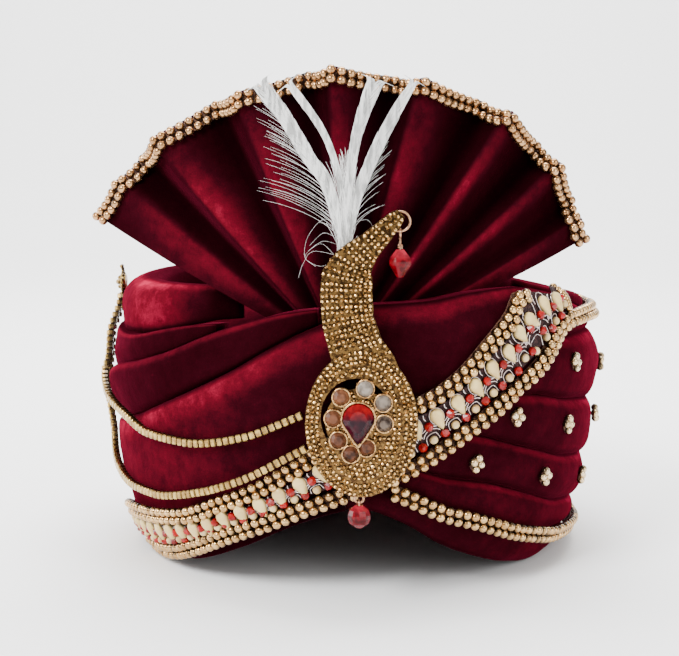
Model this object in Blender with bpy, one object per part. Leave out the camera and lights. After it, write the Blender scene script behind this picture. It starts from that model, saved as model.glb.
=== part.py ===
"""A tied velvet turban with a pleated fan, a jewelled brooch with a plume, lace bands and two swagged chains.

Metres, +Z up. The turban rests on the rim of its sides and back at z = 0, and its front faces -Y.
A place on the wound cloth is given by its turn, in degrees from the front centre towards +X, and its height.
"""
import math

import bmesh
import bpy
import numpy as np
from mathutils import Vector

# The head opening and the stiff cap
HEAD_HALF_WIDTH = 0.080
HEAD_LENGTHENING = 0.016  # how much longer than wide the head oval is, on each side
HOLLOW_HEIGHT = 0.112
CAP_WALL = 0.004
CAP_LIFT = 0.002  # the cap's edge sits this far above the cloth's rim
CAP_SHOULDER = 0.68  # share of the height where the cap's side turns in to its top
CAP_SQUARENESS = 2.6

# The wound cloth
HALF_WIDTH = 0.112  # outermost, at the roundest roll
WRAP_HEIGHT = 0.126
ARCH_HEIGHT = 0.037  # of the notch over the forehead
FOLD_DEPTH = 0.010  # how far a fold stands proud of its crease
CROWN_THICKNESS = 0.020
CLEARANCE = 0.0004
SEAM_TURN = -2.0  # where the left and right windings meet, behind the brooch
END_TURN = 0.1  # a winding stops this far short, so that the next one can start

# The fan
FAN_REACH = 0.116
FAN_ROOT = 0.008
FAN_CENTRE_X = -0.005
FAN_CENTRE_SHARE = 0.765  # of the wrap height
FAN_SHEET = 0.0016
FAN_PLEAT = 0.0075  # depth of a pleat at the fan's edge
FAN_ROOT_PLEAT = 0.0028
FAN_GATHER = 0.030  # the pleats open to that depth at this distance from the fan's centre
FAN_BOW = 0.557  # how far back the fan's sides are, as a share of FAN_REACH
FAN_LEAN = 0.12
FAN_LEAN_FROM = 0.012  # above the fan's centre
FAN_SEAT = 0.0003  # from the fan's root to the folds in front of it

# Lace bands and ball trims
BAND_THICKNESS = 0.0016
EDGE_WIDTH = 0.0078  # two rows of balls
EDGE_HEIGHT = 0.0034
BAND_SEAT = 0.0007  # a band's gap to the cloth under it

# The brooch
BROOCH_X = 0.0027
BROOCH_Z = 0.0745
BROOCH_HALF_WIDTH = 0.0218
BROOCH_HALF_HEIGHT = 0.0285
BROOCH_PLATE = 0.0030
BROOCH_GAP = 0.0006  # to the bands behind it
BROOCH_LEAN = 0.05
HOLE_HALF_WIDTH = 0.0136
HOLE_HALF_HEIGHT = 0.0150
HOLE_OFFSET = (-0.0022, 0.0025)
FLOWER_RADIUS = 0.0128
FLOWER_OFFSET = (-0.0013, 0.0006)
NECK_HEIGHT = 0.0810  # from the medallion's middle to the tip
STONE_RADIUS = 0.0031
STONE_HEIGHT = 0.0026
STONE_SEAT = 0.0003
CENTRE_STONE_RADIUS = 0.0060
CENTRE_STONE_POINT = 0.0098  # from its middle down to its point
CENTRE_STONE_HEIGHT = 0.0042
WIRE_RADIUS = 0.00045
TIP_RING = 0.0038
TIP_RING_OFFSET = (0.0147, 0.0776)
LOWER_RING = 0.0017
TIP_EYE = 0.0017
LOWER_EYE = 0.0013
TIP_STEM = 0.0045
TIP_BEAD_RADIUS = 0.0045
TIP_BEAD_HEIGHT = 0.0107
LOWER_BEAD_RADIUS = 0.0046
LOWER_BEAD_HEIGHT = 0.0088

# The plume
PLUME_THICKNESS = 0.0022
PLUME_LENGTH = 0.0775
PLUME_WIDTH = 0.0125
PLUME_ROOT = 0.0545  # above the medallion's middle

# The chains
CHAIN_RADIUS = 0.0015
CHAIN_SEAT = 0.0003
HOOK_RADIUS = 0.0042

# Heights along the winding. A row is (turn in degrees, share of the way from the rim to the top),
# but the rim's own shares are of ARCH_HEIGHT.
RIM = [(-2, 0.98), (0, 1.0), (3, 0.98), (11, 0.82), (21.5, 0.51), (31, 0.32), (43, 0.14), (60, 0.0),
       (298, 0.0), (311, 0.10), (318, 0.19), (334, 0.49), (347, 0.80), (357, 0.97), (360, 1.0)]
HEM = [(-2, 0.151), (7, 0.132), (15, 0.126), (26, 0.138), (39, 0.123), (60, 0.103), (90, 0.066),
       (174, 0.056)]
CREASE_LOW = [(-2, 0.212), (13, 0.251), (30, 0.283), (60, 0.215), (88, 0.155), (150, 0.155), (205, 0.185)]
CREASE_MID = [(-2, 0.285), (8, 0.339), (25.5, 0.454), (41, 0.424), (60, 0.372), (88, 0.317),
              (180, 0.345), (230, 0.405), (270, 0.437), (280, 0.45)]
CREASE_HIGH = [(10, 0.40), (17, 0.475), (27, 0.577), (39, 0.608), (60, 0.568), (88, 0.518), (180, 0.54),
               (270, 0.595), (292, 0.675), (313, 0.742), (334, 0.848), (347, 0.894), (356, 0.905)]
PANEL_LINE = [(22, 0.57), (28, 0.655), (38, 0.745), (50, 0.79), (65, 0.785), (84, 0.765)]
PANEL_TOP = [(-2, 0.912), (16, 0.937), (27, 0.965), (38, 0.975), (50, 0.95), (62, 0.90), (84, 0.815)]
WRAP_LINE = [(84, 0.765), (110, 0.755), (180, 0.76), (270, 0.77), (292, 0.778), (323, 0.845), (330, 0.85)]
SWEEP_TOP = [(174, 0.056), (182, 0.105), (210, 0.222), (240, 0.333), (270, 0.42), (300, 0.515),
             (321, 0.607), (333, 0.678), (342, 0.753), (353, 0.837), (358, 0.86)]

CROWN_TOP = [(52, 0.975), (60, 0.95), (75, 0.918), (90, 0.89), (112, 0.885), (140, 0.90), (180, 0.925),
             (245, 0.945), (290, 0.955), (328, 0.975)]

# Where the creases are between the cap and HALF_WIDTH. A row is (share of WRAP_HEIGHT, share of that room).
CREASE_WIDTH = [(0.0, 0.064), (0.04, 0.18), (0.095, 0.288), (0.27, 0.528), (0.46, 0.644), (0.675, 0.720),
                (0.79, 0.680), (1.0, 0.500)]
# Room behind the front folds for the fan's root. A row is (turn, share of the same room).
POCKET = [(-2, 0.332), (20, 0.376), (30, 0.428), (38, 0.536), (48, 0.36), (62, 0.072), (75, 0.0),
          (285, 0.0), (300, 0.072), (320, 0.28), (335, 0.44), (350, 0.344), (358, 0.332)]
POCKET_RISE = (0.60, 0.77)  # shares of WRAP_HEIGHT between which the pocket opens
# Crown wrap's thickness. A row is (turn, share of CROWN_THICKNESS).
CROWN_WALL = [(52, 0.35), (60, 0.7), (75, 1.0), (285, 1.0), (300, 0.8), (312, 0.4), (328, 0.14)]

# Sections of the windings. A row is (turn, proud, peak, low, high): proud is a share of FOLD_DEPTH,
# peak is how far up the fold its fullest point is, and low and high are what is left of proud at its edges.
HEM_ROLL = [(-2, 0.50, 0.60, 0.30, 0.1), (60, 0.70, 0.60, 0.30, 0.1), (170, 0.60, 0.60, 0.35, 0.1)]
LOW_ROLL = [(-2, 0.70, 0.5, 0.10, 0.1), (60, 0.80, 0.5, 0.10, 0.2), (203, 0.60, 0.5, 0.10, 0.2)]
MID_ROLL = [(-2, 0.60, 0.5, 0.10, 0.1), (30, 0.75, 0.5, 0.20, 0.2), (90, 0.78, 0.5, 0.20, 0.3),
            (200, 0.75, 0.5, 0.20, 0.2), (272, 0.45, 0.5, 0.20, 0.2)]
HIGH_ROLL = [(12, 0.60, 0.5, 0.10, 0.1), (40, 0.80, 0.5, 0.20, 0.2), (180, 0.80, 0.5, 0.20, 0.2),
             (230, 0.75, 0.6, 0.25, 0.2), (285, 0.72, 0.82, 0.25, 0.5), (356, 0.80, 0.85, 0.30, 0.55)]
TOP_ROLL = [(24, 0.55, 0.5, 0.10, 0.2), (50, 0.75, 0.5, 0.15, 0.15), (90, 0.82, 0.5, 0.20, 0.1),
            (180, 0.80, 0.5, 0.20, 0.1), (240, 0.60, 0.65, 0.25, 0.2), (290, 0.42, 0.85, 0.20, 0.45),
            (330, 0.30, 0.80, 0.30, 0.5)]
FRONT_PANEL = [(-2, 0.80, 0.55, 0.35, 0.5), (30, 0.75, 0.55, 0.35, 0.45), (60, 0.60, 0.50, 0.30, 0.3),
               (88, 0.40, 0.50, 0.20, 0.2)]
SWEEP_FOLD = [(170, 0.60, 0.60, 0.30, 0.2), (220, 0.60, 0.65, 0.30, 0.35), (270, 0.60, 0.70, 0.25, 0.5),
              (320, 0.85, 0.85, 0.25, 0.55), (358, 0.95, 0.85, 0.45, 0.6)]

# The fan's fold lines, from its left edge to its right. A row is (angle from +X, share of FAN_REACH,
# share of FAN_PLEAT that the line stands back).
FAN_LINES = [(152.3, 1.030, 0.2), (145, 1.020, -0.5), (137.5, 1.000, 1.0), (132, 1.010, -0.9),
             (117.5, 0.985, 1.0), (112, 0.980, -0.8), (97, 0.985, 1.0), (92, 1.000, -0.8),
             (79, 0.980, 1.0), (73.5, 1.000, -0.8), (60, 1.010, 1.0), (54.5, 1.035, -0.9),
             (45, 1.020, 1.0), (39.5, 1.030, -0.8), (31.5, 1.000, 0.8), (27, 0.990, -0.3),
             (23.7, 0.985, 0.2)]

# Edges of the wide band, from the back round the left to the right shoulder. A row is (turn, share of
# WRAP_HEIGHT). Its lower trim runs on round the back, and its upper trim starts there at the rim.
BAND_LOW = [(-178, 0.008), (-62, 0.008), (-50, 0.030), (-42, 0.062), (-26, 0.157), (-18, 0.206), (-10, 0.26),
            (3.6, 0.341), (10.4, 0.378), (17, 0.433), (24, 0.50), (34, 0.60), (42, 0.686), (50, 0.785),
            (55, 0.822), (62, 0.825), (75, 0.815), (90, 0.803), (120, 0.795), (180, 0.80), (252, 0.81)]
BAND_HIGH = [(-178, 0.092), (-98, 0.099), (-90, 0.111), (-77, 0.163), (-64, 0.20), (-51, 0.222), (-40, 0.25),
             (-30, 0.31), (-22, 0.365), (-12, 0.46), (-5, 0.54), (7, 0.63), (14, 0.668), (20.4, 0.73),
             (27, 0.82), (34, 0.91), (38, 0.975), (46, 0.99)]
UPPER_TRIM_FROM, UPPER_TRIM_TO = -178.0, 40.0
LACE_FROM, LACE_TO = -88.0, 57.0
LOWER_TRIM_FROM, LOWER_TRIM_TO = -66.0, 252.0
TOP_MARGIN = 0.0010  # between a band's edge and the top of the cloth under it

# Middle line of the brooch's neck, upwards. A row is (share of NECK_HEIGHT from the medallion's middle,
# x and half-width as shares of BROOCH_HALF_WIDTH).
NECK = [(0.18, 0.10, 0.66), (0.278, 0.055, 0.54), (0.359, -0.096, 0.477), (0.488, -0.239, 0.459),
        (0.623, -0.275, 0.459), (0.698, -0.248, 0.454), (0.765, -0.142, 0.358), (0.807, -0.005, 0.294),
        (0.848, 0.147, 0.234), (0.898, 0.335, 0.202), (0.942, 0.491, 0.170), (0.977, 0.619, 0.133),
        (0.995, 0.690, 0.085)]

# Petal stones of the flower. A row is (angle from +X, distance from the flower's middle as a share of
# FLOWER_RADIUS).
PETALS = [(78.4, 1.045), (38.4, 0.956), (-2.3, 0.782), (-72.0, 0.80), (-103.0, 0.975), (-138.5, 0.803),
          (170.5, 0.765), (124.0, 0.923)]

# Locks of the plume. A row is (lean from upright at the root and at the tip in degrees, share of
# PLUME_LENGTH, share of PLUME_WIDTH, share of PLUME_THICKNESS that it stands forward).
LOCKS = [(-35, -15, 1.00, 1.00, 0.0), (-27, -6, 0.99, 0.80, 0.30), (1, 14, 0.97, 0.85, 0.15),
         (15, 26, 1.00, 0.95, -0.25), (-50, -38, 0.62, 0.60, -0.35), (25, 34, 0.58, 0.60, 0.40)]

# Cut beads of the drops. A row is (share of the height from the top, share of the radius).
TIP_BEAD = [(0.0, 0.24), (0.36, 1.0), (0.42, 1.0), (1.0, 0.22)]
LOWER_BEAD = [(0.0, 0.34), (0.20, 0.84), (0.42, 1.0), (0.58, 1.0), (0.80, 0.84), (1.0, 0.34)]

# Routes of the chains, from the hook. A row is (turn, share of WRAP_HEIGHT).
UPPER_CHAIN = [(269.5, 0.862), (272.0, 0.78), (275.5, 0.68), (279.0, 0.61), (285.0, 0.56), (293.0, 0.525),
               (302.0, 0.50), (312.0, 0.475), (323.0, 0.473), (336.5, 0.51), (346.0, 0.571), (349.3, 0.595)]
LOWER_CHAIN = [(266.0, 0.862), (267.5, 0.76), (269.0, 0.64), (271.0, 0.53), (274.5, 0.42), (280.0, 0.34),
               (288.0, 0.288), (299.0, 0.262), (311.0, 0.266), (325.0, 0.31), (338.0, 0.385), (347.0, 0.465),
               (350.3, 0.495)]
HOOK_PLACE = (268.0, 0.913)
TRIM_FROM, TRIM_TO = 11.0, 180.0

# Steps of the winding: fine over the front, coarser round the back
FRONT_STEP, BACK_STEP = 6.0, 10.0
FRONT_FROM, FRONT_TO = 304.0, 64.0

COLOURS = {
    "velvet": ((0.17, 0.006, 0.018, 1), 0.75, 0.0),
    "gold_balls": ((0.80, 0.55, 0.27, 1), 0.32, 0.9),
    "lace": ((0.62, 0.56, 0.50, 1), 0.5, 0.2),
    "brooch_gold": ((0.62, 0.42, 0.16, 1), 0.3, 1.0),
    "chain_gold": ((0.80, 0.66, 0.38, 1), 0.3, 1.0),
    "ruby": ((0.42, 0.01, 0.02, 1), 0.08, 0.0),
    "champagne_stone": ((0.55, 0.42, 0.32, 1), 0.1, 0.0),
    "coral_glass": ((0.70, 0.03, 0.03, 1), 0.1, 0.0),
    "feather": ((0.86, 0.86, 0.84, 1), 0.7, 0.0),
}


def clear_scene():
    for obj in list(bpy.data.objects):
        bpy.data.objects.remove(obj)


def material(name):
    found = bpy.data.materials.get(name)
    if found:
        return found
    colour, roughness, metallic = COLOURS[name]
    made = bpy.data.materials.new(name)
    made.use_nodes = True
    shader = made.node_tree.nodes["Principled BSDF"]
    shader.inputs["Base Color"].default_value = colour
    shader.inputs["Roughness"].default_value = roughness
    shader.inputs["Metallic"].default_value = metallic
    made.diffuse_color = colour
    return made


def add_object(name, points, faces, finish, sharp_deg=40.0):
    mesh = bpy.data.meshes.new(name)
    mesh.from_pydata([tuple(p) for p in points], [], faces)
    made = bmesh.new()
    made.from_mesh(mesh)
    bmesh.ops.recalc_face_normals(made, faces=made.faces)
    made.to_mesh(mesh)
    made.free()
    mesh.shade_smooth()
    mesh.set_sharp_from_angle(angle=math.radians(sharp_deg))
    mesh.materials.append(material(finish))
    obj = bpy.data.objects.new(name, mesh)
    bpy.context.scene.collection.objects.link(obj)
    return obj


def follow(rows, at, column=1):
    """The value of a table's column at a place: smooth, and never past its neighbours."""
    xs = np.array([row[0] for row in rows], float)
    ys = np.array([row[column] for row in rows], float)
    at = min(max(at, xs[0]), xs[-1])
    i = int(min(np.searchsorted(xs, at, side="right") - 1, len(xs) - 2))
    steps = np.diff(xs)
    slopes = np.diff(ys) / steps
    tangents = np.zeros(len(xs))
    tangents[0], tangents[-1] = slopes[0], slopes[-1]
    for k in range(1, len(xs) - 1):
        if slopes[k - 1] * slopes[k] > 0:
            before, after = 2 * steps[k] + steps[k - 1], steps[k] + 2 * steps[k - 1]
            tangents[k] = (before + after) / (before / slopes[k - 1] + after / slopes[k])
    t = (at - xs[i]) / steps[i]
    return float((2 * t**3 - 3 * t**2 + 1) * ys[i] + (t**3 - 2 * t**2 + t) * steps[i] * tangents[i]
                 + (3 * t**2 - 2 * t**3) * ys[i + 1] + (t**3 - t**2) * steps[i] * tangents[i + 1])


def smooth_step(value, low, high):
    t = min(max((value - low) / (high - low), 0.0), 1.0)
    return t * t * (3 - 2 * t)


def on_oval(turn, half_width, height):
    angle = math.radians(turn)
    return Vector((half_width * math.sin(angle), -(half_width + HEAD_LENGTHENING) * math.cos(angle), height))


def rim_height(turn):
    return ARCH_HEIGHT * follow(RIM, turn % 360 if turn % 360 < 358 else turn % 360 - 360)


def height_at(turn, share):
    """Height of a share of the way from the rim up to the top of the winding."""
    low = rim_height(turn)
    return low + share * (WRAP_HEIGHT - low)


def line(rows):
    return lambda turn: height_at(turn, follow(rows, turn))


def joined(first, second, switch_turn):
    return lambda turn: first(turn) if turn <= switch_turn else second(turn)


def cap_half_width():
    return HEAD_HALF_WIDTH + CAP_WALL


def cloth_room():
    """How much wider the wound cloth is than the cap, on each side."""
    return HALF_WIDTH - cap_half_width()


def crease_half_width(height):
    return cap_half_width() + cloth_room() * follow(CREASE_WIDTH, height / WRAP_HEIGHT)


def pocket_half_width(turn, height):
    """Where the back of the winding is: on the cap, or out in front of the fan's root."""
    rise = smooth_step(height / WRAP_HEIGHT, *POCKET_RISE)
    at = turn if turn <= 358 else turn - 360
    return cap_half_width() + CLEARANCE + cloth_room() * follow(POCKET, at) * rise


def bulge(t, peak, low, high, roundness=2.3):
    """How full a fold is, from 0 to 1, at t from its lower edge to its upper edge."""
    if t < peak:
        return low + (1 - low) * (1 - (1 - t / peak) ** roundness) ** (1 / roundness)
    return high + (1 - high) * (1 - ((t - peak) / (1 - peak)) ** roundness) ** (1 / roundness)


def winding_turns(first, last):
    """The stations of a winding. All windings share them, so that their creases meet."""
    front = np.arange(SEAM_TURN, FRONT_TO, FRONT_STEP)
    back = np.arange(FRONT_TO, FRONT_FROM, BACK_STEP)
    rest = np.arange(FRONT_FROM, 360 + SEAM_TURN + 0.01, FRONT_STEP)
    once = [float(turn) for turn in (*front, *back, *rest[:-1])]
    inside = [turn + lap for lap in (-360, 0, 360) for turn in once if first + 0.5 < turn + lap < last - 0.5]
    return [first] + inside + [last]


WINDINGS = {}


def add_winding(name, first, last, lower, upper, section, samples):
    WINDINGS[name] = {"first": first, "last": last, "lower": lower, "upper": upper, "section": section,
                      "samples": samples}


def fold_reach(winding, turn, height):
    """Half-width of a fold's outside at a turn and height."""
    low, high = winding["lower"](turn), winding["upper"](turn)
    t = min(max((height - low) / max(high - low, 1e-6), 0.0), 1.0)
    proud, peak, keep_low, keep_high = (follow(winding["section"], turn, c) for c in (1, 2, 3, 4))
    depth = min(FOLD_DEPTH * proud, 0.75 * (high - low))
    return crease_half_width(height) + depth * bulge(t, peak, keep_low, keep_high)


def cloth_reach(turn, height):
    """Half-width of the outermost cloth at a turn and height."""
    best = 0.0
    for winding in WINDINGS.values():
        for at in (turn, turn - 360, turn + 360):
            inside = winding["first"] - 0.5 <= at <= winding["last"] + 0.5
            if inside and winding["lower"](at) - 0.002 <= height <= winding["upper"](at) + 0.002:
                best = max(best, fold_reach(winding, at, height))
    at = turn % 360
    if CROWN_WALL[0][0] <= at <= CROWN_WALL[-1][0] and height >= crown_foot(at) - 0.001:
        best = max(best, crown_reach(at, height))
    return best or crease_half_width(height)


def loft(name, rings, finish, closed=False, sharp_deg=40.0, creases=None):
    """A solid through rings of points. Its ends are capped unless it closes on itself.

    Creases are the first and last outside points of a ring. The faces there are cut the same way in
    the fold above as in the fold below, so that the two don't touch.
    """
    count = len(rings[0])
    points = [p for ring in rings for p in ring]
    faces = []
    spans = len(rings) if closed else len(rings) - 1
    for i in range(spans):
        a, b = i * count, (i + 1) % len(rings) * count
        for j in range(count):
            k = (j + 1) % count
            if creases and j == creases[0]:
                faces += [(a + j, a + k, b + j), (a + k, b + k, b + j)]
            elif creases and j == creases[1]:
                faces += [(a + j, a + k, b + k), (a + j, b + k, b + j)]
            else:
                faces.append((a + j, a + k, b + k, b + j))
    if not closed:
        faces.append(tuple(range(count))[::-1])
        faces.append(tuple(len(points) - count + j for j in range(count)))
    return add_object(name, points, faces, finish, sharp_deg)


def fold_levels(count):
    """Shares of a fold's height, closer together at its rounded edges."""
    return [0.5 - 0.5 * math.cos(math.pi * i / (count - 1)) for i in range(count)]


def make_winding(name):
    winding = WINDINGS[name]
    rings = []
    for turn in winding_turns(winding["first"] + END_TURN, winding["last"] - END_TURN):
        low = winding["lower"](turn)
        high = winding["upper"](turn)
        low = low + (CLEARANCE / 2 if low > 0.0005 else 0.0)
        high = high - CLEARANCE / 2
        levels = fold_levels(winding["samples"])
        ring = []
        for t in levels:
            height = low + t * (high - low)
            ring.append(on_oval(turn, fold_reach(winding, turn, height), height))
        for t in (1.0, 0.75, 0.5, 0.0) if winding["samples"] > 7 else (1.0, 0.5, 0.0):
            height = low + t * (high - low)
            ring.append(on_oval(turn, pocket_half_width(turn, height), height))
        rings.append(ring)
    return loft(name, rings, "velvet", creases=(winding["samples"] - 1, len(rings[0]) - 1))


def list_windings():
    low, mid, high = line(CREASE_LOW), line(CREASE_MID), line(CREASE_HIGH)
    sweep = line(SWEEP_TOP)
    panel = joined(mid, joined(high, line(PANEL_LINE), 21), 9)
    add_winding("hem_roll", SEAM_TURN, 174, rim_height, line(HEM), HEM_ROLL, 6)
    add_winding("low_roll", SEAM_TURN, 194, joined(line(HEM), sweep, 174), low, LOW_ROLL, 6)
    add_winding("middle_roll", SEAM_TURN, 264, joined(low, sweep, 194), mid, MID_ROLL, 6)
    add_winding("high_fold", 10, 352, joined(mid, sweep, 264), high, HIGH_ROLL, 7)
    add_winding("top_fold", 22, 328, high, joined(panel, line(WRAP_LINE), 84), TOP_ROLL, 6)
    add_winding("front_panel", SEAM_TURN, 84, panel, line(PANEL_TOP), FRONT_PANEL, 7)
    add_winding("sweep_fold", 174, 360 + SEAM_TURN, rim_height, sweep, SWEEP_FOLD, 8)


def crown_foot(turn):
    return line(PANEL_TOP)(turn) if turn <= 84 else line(WRAP_LINE)(turn)


def crown_reach(turn, height):
    low = crown_foot(turn)
    t = min(max((height - low) / (WRAP_HEIGHT * follow(CROWN_TOP, turn) - low), 0.0), 1.0)
    thickness = CROWN_THICKNESS * follow(CROWN_WALL, turn)
    return cap_half_width() + CLEARANCE + thickness * (0.25 + 0.75 * bulge(t, 0.45, 0.9, 0.0))


def make_crown_wrap():
    rings = []
    for turn in winding_turns(CROWN_WALL[0][0], CROWN_WALL[-1][0]):
        low, high = crown_foot(turn) + CLEARANCE, WRAP_HEIGHT * follow(CROWN_TOP, turn)
        outside = []
        for t in fold_levels(8):
            height = low + t * (high - low)
            outside.append(on_oval(turn, crown_reach(turn, height), height))
        inside = cap_half_width() + CLEARANCE
        rings.append(outside + [on_oval(turn, inside, high - 0.12 * (high - low)), on_oval(turn, inside, low)])
    return loft("crown_wrap", rings, "velvet")


def cap_level(share, height, half_width):
    """Half-width of a cap's side at a share of its height."""
    if share <= CAP_SHOULDER:
        return half_width
    rise = (share - CAP_SHOULDER) / (1 - CAP_SHOULDER)
    return half_width * max(1 - rise**CAP_SQUARENESS, 0.0) ** (1 / CAP_SQUARENESS)


def make_cap():
    """The closed-top cap that the cloth is wound on, open below for the head."""
    turns = winding_turns(SEAM_TURN, 360 + SEAM_TURN)[:-1]
    shares = [0.0, 0.5, 0.76, 0.90, 0.97, 0.998]
    outer_top, inner_top = HOLLOW_HEIGHT + CAP_WALL, HOLLOW_HEIGHT
    levels = [(s, outer_top, cap_half_width()) for s in shares]
    levels += [(s, inner_top, HEAD_HALF_WIDTH) for s in reversed(shares)]
    points, faces = [], []
    for share, top, half_width in levels:
        for turn in turns:
            foot = rim_height(turn) + CAP_LIFT
            narrow = cap_level(share, top, half_width) / half_width
            angle = math.radians(turn)
            length = half_width + HEAD_LENGTHENING
            points.append(Vector((half_width * narrow * math.sin(angle), -length * narrow * math.cos(angle),
                                  foot + share * (top - foot))))
    count = len(turns)
    half = len(shares)
    for level in range(2 * half - 1):
        if level == half - 1:
            continue
        for j in range(count):
            k = (j + 1) % count
            a, b = level * count, (level + 1) * count
            faces.append((a + j, a + k, b + k, b + j))
    outer_peak, inner_peak = len(points), len(points) + 1
    points += [Vector((0, 0, outer_top)), Vector((0, 0, inner_top))]
    for j in range(count):
        k = (j + 1) % count
        faces.append(((half - 1) * count + j, (half - 1) * count + k, outer_peak))
        faces.append((half * count + k, half * count + j, inner_peak))
        faces.append(((2 * half - 1) * count + j, (2 * half - 1) * count + k, k, j))
    return add_object("cap", points, faces, "velvet")


def fan_centre():
    return Vector((FAN_CENTRE_X, 0, FAN_CENTRE_SHARE * WRAP_HEIGHT))


def fan_middle(x, z):
    """How far back the middle of the fan's sheet is, before its pleats."""
    pocket = cap_half_width() + CLEARANCE + cloth_room() * POCKET[0][1] + HEAD_LENGTHENING
    held = min((line(PANEL_TOP)(0) - fan_centre().z) / FAN_GATHER, 1.0)
    front = FAN_SEAT + 0.9 * held * FAN_ROOT_PLEAT + FAN_SHEET / 2 - pocket
    return front + FAN_BOW * x * x / FAN_REACH + FAN_LEAN * max(z - fan_centre().z - FAN_LEAN_FROM, 0.0)


def fan_point(angle_deg, share, stand_back, forward=0.0):
    """A point of the fan at a share of its reach; forward is towards the viewer."""
    angle = math.radians(angle_deg)
    centre = fan_centre()
    x = centre.x + FAN_REACH * share * math.cos(angle)
    z = centre.z + FAN_REACH * share * math.sin(angle)
    open_up = smooth_step(z / WRAP_HEIGHT, 0.93, 1.35)
    depth = FAN_ROOT_PLEAT + (FAN_PLEAT - FAN_ROOT_PLEAT) * open_up
    depth = depth * min(1.0, FAN_REACH * share / FAN_GATHER)
    return Vector((x, fan_middle(x, z) + stand_back * depth - forward, z))


def fan_columns(between=2):
    """The fan's columns of points: each fold line and what lies between, rounded at the ridges."""
    columns = []
    for (a0, r0, d0), (a1, r1, d1) in zip(FAN_LINES, FAN_LINES[1:]):
        for step in range(between):
            t = step / between
            soft = t * t * (3 - 2 * t)
            dip = 0.012 * math.sin(math.pi * t)
            columns.append((a0 + t * (a1 - a0), r0 + t * (r1 - r0) - dip, d0 + soft * (d1 - d0)))
    return columns + [FAN_LINES[-1]]


def make_fan():
    rings = []
    levels = (0.0, 0.2, 0.42, 0.62, 0.82, 1.0)
    root = FAN_ROOT / FAN_REACH
    for angle, reach, back in fan_columns():
        shares = [root + t * (reach - root) for t in levels]
        front = [fan_point(angle, s, back, FAN_SHEET / 2) for s in shares]
        behind = [fan_point(angle, s, back, -FAN_SHEET / 2) for s in reversed(shares)]
        rings.append(front + behind)
    return loft("fan", rings, "velvet", sharp_deg=55)


def two_rows(width, height):
    """Section of a trim with two rows of balls: (across, up) points, the flat side first."""
    half = width / 2
    return [(-half, 0.0), (half, 0.0), (half * 0.98, height * 0.55), (half * 0.52, height),
            (0.0, height * 0.62), (-half * 0.52, height), (-half * 0.98, height * 0.55)]


def make_fan_trim():
    """The ball trim sewn along the fan's edge, on its front."""
    rings = []
    for angle, reach, back in fan_columns():
        ring = []
        for across, up in two_rows(EDGE_WIDTH, EDGE_HEIGHT):
            share = reach - (EDGE_WIDTH / 2 - across) / FAN_REACH
            ring.append(fan_point(angle, share, back, FAN_SHEET / 2 + BAND_SEAT + up))
        rings.append(ring)
    return loft("fan_trim", rings, "gold_balls")


def draped(turn, low, high):
    """The half-width of a taut band that lies over the cloth at a turn, as a function of height."""
    points = []
    for i in range(13):
        height = low - 0.001 + (high - low + 0.002) * i / 12
        near = min(max(height, 0.0005), top_of_cloth(turn) - 0.0008)
        points.append((height, max(cloth_reach(turn + d, near) for d in (-3, 0, 3))))
    hull = []
    for point in points:
        while len(hull) > 1 and ((hull[-1][1] - hull[-2][1]) * (point[0] - hull[-2][0])
                                 <= (point[1] - hull[-2][1]) * (hull[-1][0] - hull[-2][0])):
            hull.pop()
        hull.append(point)
    return lambda height: float(np.interp(height, [h for h, _ in hull], [r for _, r in hull]))


def top_of_cloth(turn):
    at = turn % 360
    if CROWN_TOP[0][0] <= at <= CROWN_TOP[-1][0]:
        return WRAP_HEIGHT * follow(CROWN_TOP, at)
    if at < CROWN_TOP[0][0]:
        return line(PANEL_TOP)(at)
    return WRAP_HEIGHT


def band_edges(turn):
    """The heights of the wide band's edges and of the seams beside its two trims."""
    low, high = WRAP_HEIGHT * follow(BAND_LOW, turn), WRAP_HEIGHT * follow(BAND_HIGH, turn)
    per_degree = HALF_WIDTH * math.pi / 180
    low_slope = WRAP_HEIGHT * (follow(BAND_LOW, turn + 2) - follow(BAND_LOW, turn - 2)) / (4 * per_degree)
    high_slope = WRAP_HEIGHT * (follow(BAND_HIGH, turn + 2) - follow(BAND_HIGH, turn - 2)) / (4 * per_degree)
    low_seam = low + EDGE_WIDTH * math.hypot(1, low_slope)
    high_seam = high - EDGE_WIDTH * math.hypot(1, high_slope)
    return low, low_seam, high_seam, high


def make_strip(name, first, last, low_at, high_at, profile, finish, span=None):
    """A strip of constant make on the cloth. Profile is (share from its lower edge, height off the cloth)."""
    rings = []
    for turn in winding_turns(first, last):
        low, high = low_at(turn), high_at(turn)
        top = top_of_cloth(turn) - TOP_MARGIN
        low, high = max(low, 0.0010), min(high, top)
        low = min(low, high - 0.0022)
        reach = draped(turn, *(span(turn) if span else (low, high)))
        ring = []
        for across, up in profile:
            height = low + across * (high - low)
            ring.append(on_oval(turn, reach(height) + BAND_SEAT + up, height))
        rings.append(ring)
    return loft(name, rings, finish)


def two_row_profile(height):
    return [(0.0, 0.0), (0.5, 0.0), (1.0, 0.0), (0.99, height * 0.6), (0.76, height), (0.5, height * 0.62),
            (0.24, height), (0.01, height * 0.6)]


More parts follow.
